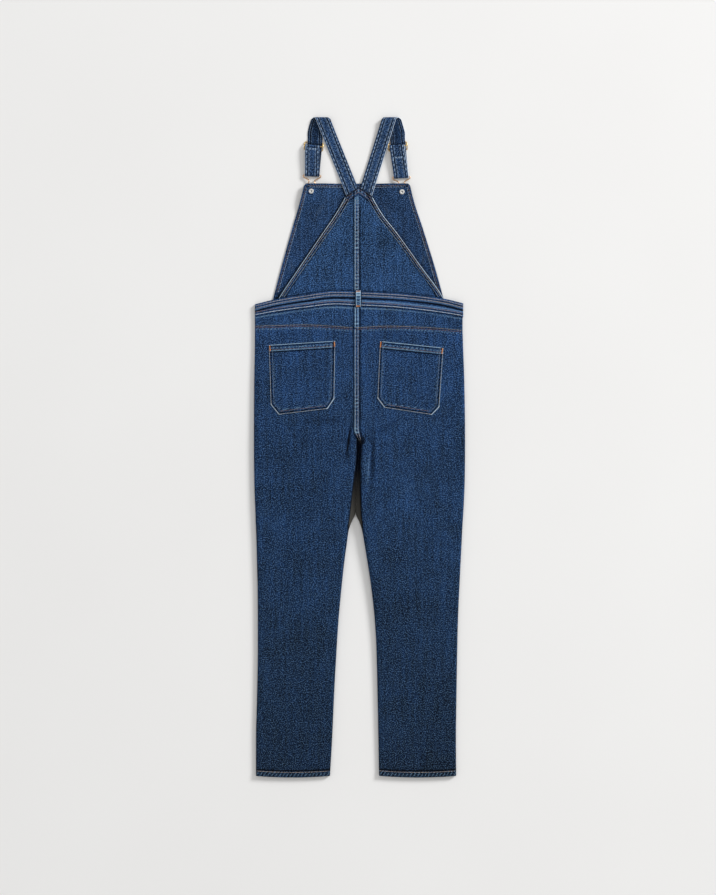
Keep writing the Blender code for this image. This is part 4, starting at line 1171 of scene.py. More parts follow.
BIB_HEM = 9.0
FRONT_BIB_TOP = 579.0
FRONT_BIB_FOOT = 326.0
FRONT_BIB_STEP = 2.6
FRONT_BIB_COLUMNS = 110
FRONT_BIB_FINE = np.arange(0, 13, 1.1)
FRONT_BIB_ROWS = (4.8, 7.9)
CORNER = 4.0                # how far in an upper corner is rounded,
CORNER_DROP = 8.0           # and how far down
FOOT_REACH = 150.0          # how far up it the curve of the waistband is felt
FREE_FROM = 20.0            # how far in from an edge the cloth folds freely
CAP_HEIGHT = 3.0
WIRE = 2.4
BIB_LIFT = CAP_HEIGHT + WIRE + 2 * SEAM_GAP
LIFT_FLAT = 21.0
LIFT_REACH = 64.0
BUTTON_REST = 12.0          # the bib stays up this far above a button
BUTTON_PLACES = {"left": (-106.0, 562.0), "right": (93.7, 560.5)}
BIB_SHADOW = {"left": 0.9, "right": 0.45}       # beside each edge of the back bib
STRAP_SHADOW = (-31.0, 0.275)                   # where it lies, and how it leans
FRONT_BIB_EDGE = table(
    "y left right",
    (318, -192.5, 187),
    (407, -168.3, 161.7),
    (486, -146.3, 137.5),
    (539, -130.9, 119.9),
    (565, -124.3, 113.3),
    (579, -121.0, 110.5),
)
BIB_FOLDS = table(
    "x y turn reach width height",
    (-150, 400, -16, 60, 12, 0.5),
    (-118, 470, -30, 60, 13, -0.45),
    (-88, 520, 35, 50, 12, 0.5),
    (112, 470, 26, 66, 13, -0.45),
    (140, 410, 14, 60, 10, 0.5),
    (60, 520, -30, 50, 12, 0.45),
    (0, 480, 4, 80, 20, 0.4),
)

denim_inside = make_denim("inside of denim", (0.22, 0.31, 0.43), contrast=0.85, lift=0.86)


def bib_lift(x, y):
    """How far the buttons under the front bib lift it."""
    lift = np.zeros(np.broadcast(x, y).shape)
    for button_x, button_y in BUTTON_PLACES.values():
        above = np.maximum(np.maximum(button_y - y, 0.0), y - button_y - BUTTON_REST)
        reach = np.hypot(x - button_x, above)
        raised = BIB_LIFT * smooth((LIFT_REACH - reach) / (LIFT_REACH - LIFT_FLAT))
        lift = np.maximum(lift, raised)
    return lift


def make_front_bib():
    """The front bib, a single panel."""
    levels = stations(FRONT_BIB_FOOT, FRONT_BIB_TOP, FRONT_BIB_STEP, (), FRONT_BIB_FINE)
    left, right = (ease(FRONT_BIB_EDGE, side, levels) for side in SIDES)
    corner = CORNER * np.clip((levels - FRONT_BIB_TOP + CORNER_DROP) / CORNER_DROP, 0, 1) ** 2
    near = (left + corner)[:, None] + FRONT_BIB_FINE
    far = (right - corner)[:, None] - FRONT_BIB_FINE[::-1]
    shares = np.arange(1, FRONT_BIB_COLUMNS) / FRONT_BIB_COLUMNS
    x = np.hstack((near, mix(near[:, -1:], far[:, :1], shares), far))
    level = levels[:, None]
    low = ease(WAIST, "band_top", x) + SEAM_GAP / 2
    y = level + (low - FRONT_BIB_FOOT) * (1 - smooth((level - FRONT_BIB_FOOT) / FOOT_REACH))
    from_side = np.minimum(x - near[:, :1], far[:, -1:] - x)
    from_top = FRONT_BIB_TOP - level + 0 * x
    free = smooth(from_side / FREE_FROM) * smooth(from_top / FREE_FROM) * smooth((y - low) / FREE_FROM)
    folded = folds_at(BIB_FOLDS, x, y)
    side_height, side_wear_and_shade = sewn_band(from_side, y, BIB_HEM, FRONT_BIB_ROWS, 6, 0.2, 0.2)
    top_height, top_wear_and_shade = sewn_band(from_top, x, BIB_HEM, FRONT_BIB_ROWS, 8, 0.2, 0.2)
    hem_height = np.maximum(side_height, top_height)
    z = bib_lift(x, y) + WALL + folded.clip(-0.1, 1) * free + hem_height
    # fold crests rubbed paler, their hollows darkened with painted shade, and painted shadow beside the
    # back bib and the strap
    wear = 0.3 * folded * free + np.where(from_top < from_side, top_wear_and_shade, side_wear_and_shade)
    for side, depth in BIB_SHADOW.items():
        outside_bib = (x - ease(BACK_BIB_EDGE, side, y)) * OUTWARD[side]
        wear = wear - depth * bell(outside_bib, 1.5, 3.0) * (y < TIP_SHOULDER_Y)
    beside_strap = x - STRAP_SHADOW[0] + (y - TIP_SHOULDER_Y) * STRAP_SHADOW[1]
    wear = wear - 0.9 * bell(beside_strap, 0, 2.6) * (y >= TIP_SHOULDER_Y)
    return make_cloth(
        "front_bib", (x, y, z), wear, denim_inside, (0.77, 0.13),
        slot="denim_inside", shell=WALL - UNDER_RISE,
    )


front_bib = make_front_bib()


def front_edge_row(side, inset):
    """A row of sewing down one side of the front bib."""
    y = np.linspace(340.0, FRONT_BIB_TOP - inset, 60)
    return np.column_stack((ease(FRONT_BIB_EDGE, side, y) - OUTWARD[side] * inset, y))


def front_bib_rows(row):
    """One row of sewing round the sides and the top of the front bib."""
    low, high = (float(ease(FRONT_BIB_EDGE, side, FRONT_BIB_TOP)) for side in SIDES)
    top = [(low + row + 2, FRONT_BIB_TOP - row), (high - row - 2, FRONT_BIB_TOP - row)]
    return [front_edge_row("left", row), front_edge_row("right", row), top]


for row, thread in zip(FRONT_BIB_ROWS, ("brown", "pale")):
    sew(f"front_bib_row_{thread}", front_bib, thread, front_bib_rows(row), pitch=3.6)
    sew(f"front_bib_face_{thread}", front_bib, "tan", front_bib_rows(row), below=True)

# --- Back pockets -----------------------------------------------------------------------
# A patch of denim on each leg, its top turned in a 14 mm hem and its lower corners cut
# off. Two rows of thread hold its sides and foot, and a bartack each end of its mouth.

POCKET_HEM = 14.0
POCKET_WALL = 1.2
POCKET_ROWS = (1.1, 7.4)
POCKET_HEM_ROW = 10.8
POCKET_SIZE = 140.0         # about its width and its depth
POCKET_FOOT = 0.93          # closer places lie below this share of its depth
POCKET_FINE = np.arange(0, 11, 1.2) / POCKET_SIZE       # beside its sides,
MOUTH_FINE = np.arange(0, 17, 1.2) / POCKET_SIZE        # and beside its mouth
# Wear and painted shade of lines along its sides, its mouth and its cut corners.
POCKET_MIDDLE_SHADE = (-1.6, 3.4, 1.4)
MOUTH_WEAR_AND_SHADE = ((-1.0, 3.2, 1.2), (1.1, 13.2, 1.0))
CORNER_WEAR = (1.3, 0.8, 1.3)
BARTACK_WIDTH = 2.2
BARTACK_PITCH = 0.62
BARTACK_GRAIN = (1, 0.36, 0.32)
BARTACK_RISE = 0.22
POCKET_BARTACK = (1.5, 13.0, 2.8)       # from and to how far below the mouth, and its width
POCKETS = {
    "left": {
        "top": ((-199.3, 223.7), (-53.2, 232.8)),
        "bottom": ((-195.1, 93.3), (-176.9, 70.8), (-70.2, 83.6), (-55.2, 106.0)),
    },
    "right": {
        "top": ((44.9, 232.3), (184.6, 217.6)),
        "bottom": ((39.2, 107.4), (54.8, 86.2), (158.6, 70.4), (175.3, 87.8)),
    },
}


def edge_distance(x, y, start, end):
    """Distance of places from a straight edge, on the side to its left."""
    along = unit(np.subtract(end, start))
    return (y - start[1]) * along[0] - (x - start[0]) * along[1]


def pocket_grid(top_left, top_right, corners):
    """Places across and down one pocket, between its mouth and its three lower edges."""
    lengths = (corners[:, 0] - corners[0, 0]) / (corners[-1, 0] - corners[0, 0])
    near, far = POCKET_FINE[-1], 1 - POCKET_FINE[-1]
    across = np.unique(np.concatenate((
        POCKET_FINE, np.linspace(near, lengths[1], 4), np.linspace(lengths[1], lengths[2], 46),
        np.linspace(lengths[2], far, 4), 1 - POCKET_FINE,
    )))
    middle = np.linspace(17 / POCKET_SIZE, POCKET_FOOT, 46)[1:]
    down = np.concatenate((MOUTH_FINE, middle, np.linspace(POCKET_FOOT, 1.0, 9)[1:]))[::-1]
    high = top_left + (top_right - top_left) * across[:, None]
    low = np.column_stack([np.interp(across, lengths, corners[:, axis]) for axis in (0, 1)])
    grid = high[None] + (low - high)[None] * down[:, None, None]
    return grid[..., 0], grid[..., 1]


def make_pocket(side):
    """One patch pocket, and its outline from one end of its mouth round to the other."""
    top_left, top_right = (np.array(corner) for corner in POCKETS[side]["top"])
    corners = np.array(POCKETS[side]["bottom"])
    x, y = pocket_grid(top_left, top_right, corners)
    outline = [top_left, *corners, top_right]
    edges = [edge_distance(x, y, start, end) for start, end in zip(outline, outline[1:])]
    sides = np.minimum.reduce(edges)
    mouth = edge_distance(x, y, top_right, top_left)
    around = y - x * 0.4
    waves = ripple(around, 7, 7.4)
    drawn = waves * bell(sides, sum(POCKET_ROWS) / 2, 4.5)
    hem_height, hem_wear_and_shade = sewn_band(mouth, x, POCKET_HEM, (POCKET_HEM_ROW,), 11, edge=2.0)
    z = back_height(x, y) + SEAM_GAP + POCKET_WALL + 0.16 * drawn + hem_height
    z = z + lines_at(sides, (-0.3, 0, 1.2)) + along_rows(sides, POCKET_ROWS, -0.22)
    wear = fold_wear_and_shade(x, y) + 0.35 * drawn + hem_wear_and_shade
    wear = wear + lines_at(sides, (0.9, 0.6, 0.9)) + lines_at(mouth, *MOUTH_WEAR_AND_SHADE)
    wear = wear + lines_at(sides, (0.5, 10.0, 1.1)) * smooth(0.3 + 0.9 * waves)
    wear = wear + lines_at(sides, POCKET_MIDDLE_SHADE) * mix(0.5, 1.0, dimples(around, 7))
    wear = wear + lines_at(mouth, (0.9, 7.2, 1.4)) * smooth(0.4 + ripple(x, 5, 8.0))
    wear = wear + lines_at(np.minimum(edges[1], edges[3]), CORNER_WEAR)
    shift = (0.05, 0.63 * len(side))
    pocket = make_cloth(f"back_pocket_{side}", (x, y, z), wear, denim, shift, shell=POCKET_WALL)
    return pocket, outline


def inset_outline(outline, inset):
    """An open outline moved in by the same distance from each of its edges."""
    points = np.array(outline, float)
    ways = unit(np.diff(points, axis=0))
    normals = np.column_stack((-ways[:, 1], ways[:, 0]))
    moved = [points[0] + normals[0] * inset]
    for point, before, after in zip(points[1:-1], normals, normals[1:]):
        moved.append(point + (before + after) * inset / (1 + before @ after))
    moved.append(points[-1] + normals[-1] * inset)
    return np.array(moved)


def bartack(name, panel, start, end, width=BARTACK_WIDTH):
    """A short dense bar of thread sewn across a strained place."""
    start, end = np.array(start, float), np.array(end, float)
    length = np.linalg.norm(end - start)
    along = (end - start) / length
    across = np.array((-along[1], along[0])) * width / 2
    height_at = height_finder(panel)
    starts, ends = [], []
    for share in np.linspace(0, 1, round(length / BARTACK_PITCH)):
        middle = mix(start, end, share)
        heights = [height_at(*spot) for spot in (middle - across, middle, middle + across)]
        top = max(height for height in heights if height is not None) + BARTACK_RISE
        starts.append((*(middle - across), top))
        ends.append((*(middle + across), top))
    ups = np.tile((0, 0, 1), (len(starts), 1))
    return make_stitches(name, starts, ends, ups, "orange", BARTACK_GRAIN)


for side in SIDES:
    pocket, outline = make_pocket(side)
    rows = [inset_outline(outline, row) for row in POCKET_ROWS]
    sew(f"pocket_rows_{side}", pocket, "grey", rows[:1])
    sew(f"pocket_side_rows_{side}", pocket, "blue", [rows[1][:3], rows[1][3:]])
    sew(f"pocket_foot_row_{side}", pocket, "brown", [rows[1][2:4]])
    across = unit(np.subtract(outline[-1], outline[0]))
    drop = np.array((across[1], -across[0]))
    ends = [outline[0] + across * 2, outline[-1] - across * 2]
    hem_row = [end + drop * POCKET_HEM_ROW for end in ends]
    sew(f"pocket_hem_row_{side}", pocket, "brown", [hem_row])
    high, low, width = POCKET_BARTACK
    for name, corner, way in (("outer", outline[0], 1), ("inner", outline[-1], -1)):
        seat = corner + across * way * 2.2
        bartack(f"pocket_bartack_{name}_{side}", pocket, seat + drop * high, seat + drop * low, width)

# --- Belt loop --------------------------------------------------------------------------
# A narrow folded strip of denim stands over the middle of the waistband, bowed clear of
# it between its ends, which are held down by bartacks.

LOOP_LOW, LOOP_HIGH = 307.0, 344.0
LOOP_X = -2.6
LOOP_WIDTH = 14.5
LOOP_WALL = 1.6
LOOP_BOW = 1.6
LOOP_ROW = 4.6              # out from its middle
LOOP_BARTACK = (-4.5, 4.0, 2.2, 2.9)    # its ends across, how far in it is, and its width

across = np.linspace(-1, 1, 19)
y = stations(LOOP_LOW, LOOP_HIGH, 1.2)[:, None] + 0 * across
x = LOOP_X + across * LOOP_WIDTH / 2 + 0 * y
length = LOOP_HIGH - LOOP_LOW
middle = 1 - (np.abs(y - (LOOP_LOW + LOOP_HIGH) / 2) / length * 2) ** 2
seat = BACK_LEVEL + folds_at(FOLDS, LOOP_X, y) + BAND_WALL - WALL + RAISED / 2 + SEAM_GAP
edge = (1 - np.abs(across)) * LOOP_WIDTH / 2
z = seat + LOOP_WALL + LOOP_BOW * smooth(middle * 1.6)
z = z + lines_at(edge, (0.25, 4.5, 2.2), (-0.35, 0, 0.9))
rungs = 0.2 + 1.4 * ripple(y, 3, 6.4) + 0.9 * smooth((y - 326) / 12)
# pale rubbed rungs and edges, and a painted shade line along each edge
wear = lines_at(edge, (1.3, 2.5, 1.0), (-1.3, 0.4, 1.3)) + rungs * smooth((edge - 2.4) / 1.2)
belt_loop = make_cloth("belt_loop", (x, y, z), wear, denim, (0.4, 0.2), shell=LOOP_WALL)
loop_rows = [[(LOOP_X + way * LOOP_ROW, end) for end in (LOOP_LOW + 3, LOOP_HIGH - 3)] for way in (-1, 1)]
sew("belt_loop_rows", belt_loop, "pale", loop_rows)
left, right, inset, width = LOOP_BARTACK
for name, end in (("lower", LOOP_LOW + inset), ("upper", LOOP_HIGH - inset)):
    bartack(f"loop_bartack_{name}", belt_loop, (LOOP_X + left, end), (LOOP_X + right, end), width)

# --- Straps -----------------------------------------------------------------------------
# Each strap is a denim tube pressed flat and sewn in two rows along both edges. It runs
# from under the point over the top, down the front, through its slider and round the bar
# of its hook, and back up to the slider's middle bar, where its end is sewn down.

STRAP_WALL = 1.8
STRAP_WIDTH = 30.0          # behind the shoulder
STRAP_FRONT_WIDTH = 32.6    # from the shoulder to the hook
STRAP_TOP = 8.0
STRAP_STEP = 1.6
STRAP_FINE = np.concatenate((np.arange(0, 11, 1.1), (12.4, 13.9)))
TIP_SHARE = 0.13            # the share of the back run in which the cut end's slant is lost
LOOP_STEPS = 7
FRONT_STOPS = (0.2, 0.45, 0.75)
FRONT_LEAD = 16.0           # the front run ends this far above its slider's middle
SHIFT_REACH = 75.0          # a run's shift to one side is lost this far below a slider
SLIDER_CLEAR = 15.0         # how far from a slider's middle its strap lies low again
SLIDER_DIP = 3.0            # and how far either side of the middle bar it does
BAR_SEAT = 2.0              # how far either side of an end bar the strap rides level
DOUBLED = (20.0, 36.0)      # places on the doubled run, up from the hook
TURN_UP = 12.0              # how far below the middle bar the strap begins to turn round it
TAIL = (4.2, 8.2, 13.0)     # the sewn end's places below the middle bar
TAIL_DROP = 0.9             # how far its first place hangs below the bar's wrap
STRAP_ROWS = (4.0, 8.6)
STRAP_PUCKER = 10.4         # from one pucker to the next
STRAP_CROSS = {"left": 27.0, "right": 46.0}     # a row across, from the strap's cut end
STRAP_SEWN = (2.0, 4.0)     # how far from its ends the rows stop
STRAP_SUNK = 0.12           # how far the stitches sink into it
INNER_FACE_SHADE = 0.65           # how much painted shade darkens the wearer's side of a strap, which shows under its loop
STRAP_HALF = STRAP_WALL / 2
WRAP_RADIUS = WIRE / 2 + SEAM_GAP + STRAP_HALF
HOOK_BAR_HEIGHT = STRAP_WALL + SEAM_GAP + WIRE / 2
OVER_BAR = WIRE + SEAM_GAP + STRAP_HALF
MIDDLE_BAR_HEIGHT = STRAP_WALL + SEAM_GAP + WRAP_RADIUS + STRAP_HALF
SLIDER_WIDTH = 43.0
SLIDER_LENGTH = 20.0
STRAPS = {
    "left": {
        "tip": (-14.1, 556.0),
        "tip_turn": 39.0,
        "top": (-80.3, 725.0),
        "loop_shift": -9.5,
        "bow": -8.4,
        "slider": (-100.8, 661.0),
        "front_shift": 2.4,
        "tail_shift": -2.4,
        "slider_tilt": -4.0,
        "hook": (-104.3, 598.0),
        "hook_tilt": -2.0,
    },
    "right": {
        "tip": (12.8, 555.3),
        "tip_turn": -40.0,
        "top": (64.5, 725.0),
        "loop_shift": 10.5,
        "bow": 5.0,
        "slider": (84.0, 661.0),
        "front_shift": 1.4,
        "tail_shift": -1.8,
        "slider_tilt": 5.0,
        "hook": (91.8, 594.0),
        "hook_tilt": 3.0,
    },
}
STRAP_RISE = table(
    "along left right",
    (0.00, 2.75, 2.75),
    (0.05, 3.5, 3.5),
    (0.18, 3.9, 3.9),
    (0.30, 2.6, 3.0),
    (0.45, 1.8, 2.8),
    (0.60, 2.0, 3.4),
    (0.70, 2.6, 4.1),
    (0.82, 3.9, 4.9),
    (0.91, 5.6, 6.0),
    (1.00, STRAP_TOP, STRAP_TOP),
)


def arc(centre_y, centre_z, radius, start, end, steps):
    """Places round an arc in the upright plane, as distances along y and heights."""
    angles = np.radians(np.linspace(start, end, steps + 1))
    return list(zip(centre_y + radius * np.cos(angles), centre_z + radius * np.sin(angles)))


def back_run(side, loop_y):
    """The strap from under the point to the top, its end cut along the point's edge."""
    plan = STRAPS[side]
    tip, top_x = plan["tip"], plan["top"][0]
    lean = math.degrees(math.atan2(tip[0] - top_x, loop_y - tip[1]))
    share = np.linspace(0, 1, 33)
    turn = lean * (1 - smooth((share - 0.5) * 2))
    turn = mix(plan["tip_turn"], turn, smooth(share / TIP_SHARE))
    reach = STRAP_WIDTH / 2 / np.cos(np.radians(lean - turn))
    x, y = mix(tip[0], top_x, share), mix(tip[1], loop_y, share)
    return list(zip(x, y, ease(STRAP_RISE, side, share), turn, reach))


def strap_line(side):
    """The strap's middle line, with its turn and half its width, from its point end on."""
    plan = STRAPS[side]
    top_x, top_y = plan["top"]
    loop_radius = (STRAP_TOP - STRAP_HALF) / 2
    loop_y = top_y - loop_radius - STRAP_HALF
    line = back_run(side, loop_y)
    reach = STRAP_FRONT_WIDTH / 2
    loop = arc(loop_y, STRAP_HALF + loop_radius, loop_radius, 90, -90, LOOP_STEPS)[1:]
    for step, (y, z) in enumerate(loop, 1):
        share = step / LOOP_STEPS
        x = top_x + plan["loop_shift"] * share
        line.append((x, y, z, 0.0, mix(STRAP_WIDTH / 2, reach, share)))
    slider, hook = np.array(plan["slider"]), np.array(plan["hook"])
    start = (top_x + plan["loop_shift"], loop_y)
    end = slider + (plan["front_shift"], FRONT_LEAD)
    for share in FRONT_STOPS:
        x, y = mix(start, end, share)
        bow = plan["bow"] * share * (1 - share)
        line.append((x + bow, y, STRAP_HALF, plan["slider_tilt"] * share, reach))
    length = float(np.linalg.norm(hook - slider))
    down = (hook - slider) / length
    end_bar = (SLIDER_LENGTH - WIRE) / 2
    half_weave = [
        (-SLIDER_CLEAR, STRAP_HALF),
        (-end_bar - BAR_SEAT, OVER_BAR),
        (BAR_SEAT - end_bar, OVER_BAR),
        (-SLIDER_DIP, STRAP_HALF),
    ]
    for place, z in half_weave + [(-place, z) for place, z in reversed(half_weave)]:
        x, y = slider + down * place
        lost = float(smooth((SHIFT_REACH - SLIDER_CLEAR - place) / SHIFT_REACH))
        line.append((x + plan["front_shift"] * lost, y, z, plan["slider_tilt"], reach))
    for place, z in arc(length, HOOK_BAR_HEIGHT, WRAP_RADIUS, -90, 90, 6):
        line.append((*(slider + down * place), z, plan["hook_tilt"], reach))
    high, low = MIDDLE_BAR_HEIGHT + WRAP_RADIUS, HOOK_BAR_HEIGHT + WRAP_RADIUS
    doubled = [
        (place, mix(high, low, float(smooth((place - TURN_UP) / (length - TURN_UP)))))
        for place in (length - DOUBLED[0], length - DOUBLED[1], TURN_UP)
    ]
    doubled += arc(0.0, MIDDLE_BAR_HEIGHT, -WRAP_RADIUS, -90, 90, 6)
    doubled.append((TAIL[0], MIDDLE_BAR_HEIGHT - WRAP_RADIUS + TAIL_DROP))
    doubled += [(place, high - STRAP_WALL - SEAM_GAP) for place in TAIL[1:]]
    for place, z in doubled:
        x, y = slider + down * place
        x = x + plan["tail_shift"] * float(smooth(1 - place / length))
        turn = mix(plan["slider_tilt"], plan["hook_tilt"], max(place, 0.0) / length)
        line.append((x, y, z, turn, reach))
    return np.array(line)


def finer(line, step):
    """A line with places added so that none is further apart than a step, eased between."""
    lengths = lengths_along(line[:, :3])
    at = [0.0]
    for before, after in zip(lengths, lengths[1:]):
        count = max(math.ceil((after - before) / step), 1)
        at.extend(mix(before, after, np.arange(1, count + 1) / count))
    columns = {"length": lengths, **dict(enumerate(line.T))}
    return np.column_stack([ease(columns, name, np.array(at)) for name in range(line.shape[1])])


def strap_face(side, places, from_edge, length):
    """Half a strap's thickness and the wear and painted shade of its outer face, at places across and
    along.
    """
    waves = ripple(length, 3 + len(side), STRAP_PUCKER)
    beads = smooth(0.35 + 1.2 * waves)
    outer = smooth(0.5 + places * OUTWARD[side])
    thickness = STRAP_HALF * mix(0.35, 1.0, smooth(from_edge / 1.4))
    thickness = thickness + along_rows(from_edge, STRAP_ROWS, -0.22)
    thickness = thickness + lines_at(from_edge, (0.1, 6.2, 4.6)) * waves
    wear = 0.05 + mix(0.4, 2.8, outer) * bell(from_edge, 0, 0.9)
    # painted shade in a line inside each edge and in the trough between the rows
    wear = wear + lines_at(from_edge, (-0.8, 1.9, 0.8))
    wear = wear + lines_at(from_edge, (2.1, STRAP_ROWS[0], 1.2)) * beads
    wear = wear + lines_at(from_edge, (0.65, STRAP_ROWS[1] + 0.5, 1.2)) * (1 - beads)
    wear = wear - mix(1.1, 2.0, beads) * bell(from_edge, 6.6, 1.2)
    cross = length - length[-1] + STRAP_CROSS[side]
    rungs = lines_at(cross, (1.3, 0, 1.8)) * smooth(0.6 + np.sin(places))
    rungs = rungs + lines_at(cross, (-0.9, 3.4, 1.3))
    return thickness, wear + rungs * smooth((from_edge - 2) / 2)


def make_tube(name, rings, wear, flat, material):
    """A closed tube of cloth through rings of points, with its map in metres."""
    rows, columns = wear.shape
    body = bmesh.new()
    verts = [body.verts.new(point) for point in (rings.reshape(-1, 3) * MM).tolist()]
    for start in range(0, (rows - 1) * columns, columns):
        for column in range(columns):
            near, far = start + column, start + (column + 1) % columns
            body.faces.new([verts[i] for i in (near, far, far + columns, near + columns)])
    for row in (0, rows - 1):
        ring = verts[row * columns : (row + 1) * columns]
        for column in range(columns // 2 - 1):
            quad = (ring[column], ring[column + 1], ring[-column - 2], ring[-column - 1])
            body.faces.new(quad if row else quad[::-1])
    bmesh.ops.recalc_face_normals(body, faces=body.faces)
    chart = body.loops.layers.uv.new("cloth")
    body.verts.index_update()
    for face in body.faces:
        for loop in face.loops:
            loop[chart].uv = flat[loop.vert.index]
    mesh = bpy.data.meshes.new(name)
    body.to_mesh(mesh)
    body.free()
    mark_wear_and_shade(mesh, wear)
    mesh.materials.append(material)
    mesh.shade_smooth()
    return link_object(name, mesh)


def sew_strap(side, centre, across, normal, half):
    """Both rows of sewing along both edges of a strap, on both of its faces."""
    length = lengths_along(centre)
    marks = np.arange(STRAP_SEWN[0], length[-1] - STRAP_SEWN[1], PITCH)

    def spots(row, at):
        """Places on a row, or its directions, at marks along the strap."""
        return np.column_stack([np.interp(at, length, column) for column in row.T])

    starts, ends, ups = [], [], []
    for face in (1, -1):
        for inset in STRAP_ROWS:
            for way in (-1, 1):
                out = normal * face * (STRAP_HALF - STRAP_SUNK)
                row = centre + across * way * (half - inset) + out
                starts.append(spots(row, marks))
                ends.append(spots(row, marks + 2 * GRAIN[0]))
                ups.append(face * spots(normal, marks))
    make_stitches(f"strap_rows_{side}", np.vstack(starts), np.vstack(ends), np.vstack(ups), "blue")


def make_strap(side):
    """One strap as a closed flat tube with its rows of sewing, and its whole length."""
    line = finer(strap_line(side), STRAP_STEP)
    centre, turn, half = line[:, :3], np.radians(line[:, 3]), line[:, 4:]
    across = np.column_stack((np.cos(turn), np.sin(turn), np.zeros(len(turn))))
    normal = unit(np.cross(unit(np.gradient(centre, axis=0)), across))
    if normal[0, 2] < 0:
        normal = -normal
    length = lengths_along(centre)[:, None]
    places = np.hstack((STRAP_FINE - half, 0 * half, (half - STRAP_FINE)[:, ::-1]))
    thickness, wear = strap_face(side, places, half - np.abs(places), length)
    middle = centre[:, None] + across[:, None] * places[..., None]
    away = normal[:, None] * thickness[..., None]
    rings = np.concatenate((middle + away, (middle - away)[:, ::-1]), axis=1)
    # painted shade on the wearer's side, which shows under the loop
    ring_wear_and_shade = np.concatenate((wear, 0.4 * wear[:, ::-1] - INNER_FACE_SHADE), axis=1)
    flat_x = np.hstack((places, places[:, ::-1]))
    flat = np.dstack((flat_x, length + 0 * flat_x)).reshape(-1, 2) * MM
    shift = np.array((0.6, 0.31 * len(side)))
    strap = make_tube(f"strap_{side}_cloth", rings, ring_wear_and_shade, flat + shift, strap_denim)
    place_piece(strap, "denim", f"strap_{side}")
    sew_strap(side, centre, across, normal, half)
    return strap, float(length[-1, 0])


strap_denim = make_denim("strap denim", (0.27, 0.38, 0.54), lift=0.84)
for side in SIDES:
    strap, strap_length = make_strap(side)

# --- Sliders ----------------------------------------------------------------------------
# Each slider is a frame of brass wire, arched over the strap, with a middle bar that the
# strap's end is sewn round.

SLIDER_HALF = ((SLIDER_WIDTH - WIRE) / 2, (SLIDER_LENGTH - WIRE) / 2)     # to its wire's middle
SLIDER_CORNER = 3.0


def make_metal(name, colour, dull, roughness):
    """Plated wire or sheet: a little uneven in tone, dulled in spots and finely scratched."""
    material, tree, shader = new_material(name, Metallic=1.0)
    patina = noise(tree, 320.0, 4.0)
    feed(
        tree, shader,
        Base_Color=graded(tree, patina, ((0.3, dull), (0.62, colour))),
        Roughness=remap(tree, patina, (0.0, 1.0), (roughness + 0.2, roughness)),
        Normal=relief(tree, noise(tree, 2200.0), 0.25, 0.05),
    )
    return material


def turned(place, tilt, along, down, height):
    """A point given across and down from a bar's middle, as a place in the garment."""
    lean = math.radians(tilt)
    x = place[0] + along * math.cos(lean) + down * math.sin(lean)
    y = place[1] + along * math.sin(lean) - down * math.cos(lean)
    return (x, y, height)


def pick(item):
    """Select one object and nothing else."""
    bpy.ops.object.select_all(action="DESELECT")
    item.select_set(True)
    bpy.context.view_layer.objects.active = item


def bend_wire(name, points, closed, order=3):
    """A round wire bent smoothly through its points, as a mesh with closed ends."""
    curve = bpy.data.curves.new(name, "CURVE")
    curve.dimensions = "3D"
    curve.bevel_depth = WIRE / 2 * MM
    curve.bevel_resolution = 5
    curve.use_fill_caps = True
    spline = curve.splines.new("NURBS" if order > 2 else "POLY")
    spline.points.add(len(points) - 1)
    for point, place in zip(spline.points, points):
        point.co = (*(Vector(place) * MM), 1.0)
    spline.use_cyclic_u = closed
    spline.order_u = order
    spline.use_endpoint_u = not closed
    spline.resolution_u = 6
    pick(link_object(name, curve))
    bpy.ops.object.convert(target="MESH")
    wire = bpy.context.object
    bpy.ops.object.mode_set(mode="EDIT")
    bpy.ops.mesh.select_all(action="SELECT")
    bpy.ops.mesh.remove_doubles(threshold=0.001 * MM)
    bpy.ops.mesh.normals_make_consistent(inside=False)
    bpy.ops.object.mode_set(mode="OBJECT")
    wire.data.shade_smooth()
    return wire


def slider_outline():
    """The frame's wire seen flat, from one end of the middle bar round its four corners."""
    across, down = SLIDER_HALF
    outline = []
    for number, (way_x, way_y) in enumerate(((1, 1), (-1, 1), (-1, -1), (1, -1))):
        if number in (0, 2):
            outline.append((way_x * across, 0.0))
        for angle in np.radians(np.linspace(90 * number, 90 * number + 90, 4)):
            outline.append((
                way_x * (across - SLIDER_CORNER) + SLIDER_CORNER * math.cos(angle),
                way_y * (down - SLIDER_CORNER) + SLIDER_CORNER * math.sin(angle),
            ))
    return outline


brass = make_metal("brass", (0.72, 0.50, 0.20), (0.45, 0.29, 0.11), 0.22)
for side, plan in STRAPS.items():
    place, tilt = plan["slider"], plan["slider_tilt"]
    half_width, half_length = SLIDER_HALF
    arched = []
    for along, down in slider_outline():
        arch = 1 - float(smooth(abs(down) / (half_length - SLIDER_CORNER / 2)))
        height = mix(WIRE / 2, MIDDLE_BAR_HEIGHT, arch)
        arched.append(turned(place, tilt, along, down, height))
    slider = bend_wire(f"slider_{side}_wire", arched, True, 2)
    ends = [turned(place, tilt, along, 0.0, MIDDLE_BAR_HEIGHT) for along in (-half_width, half_width)]
    bar = bend_wire(f"slider_bar_{side}", ends, False, 2)
    join = slider.modifiers.new("Middle bar", "BOOLEAN")
    join.operation = "UNION"
    join.object = bar
    pick(slider)
    bpy.ops.object.modifier_apply(modifier=join.name)
    bpy.data.objects.remove(bar)
    slider.data.materials.clear()
    slider.data.materials.append(brass)
    bpy.ops.object.shade_smooth_by_angle(angle=math.radians(50))
    place_piece(slider, "brass", f"slider_{side}")

# --- Hooks ------------------------------------------------------------------------------
# Each hook is bent from one piece of rose-gold wire: a bar for the strap, a waist, and an
# eye that holds the button's shank under the bib.

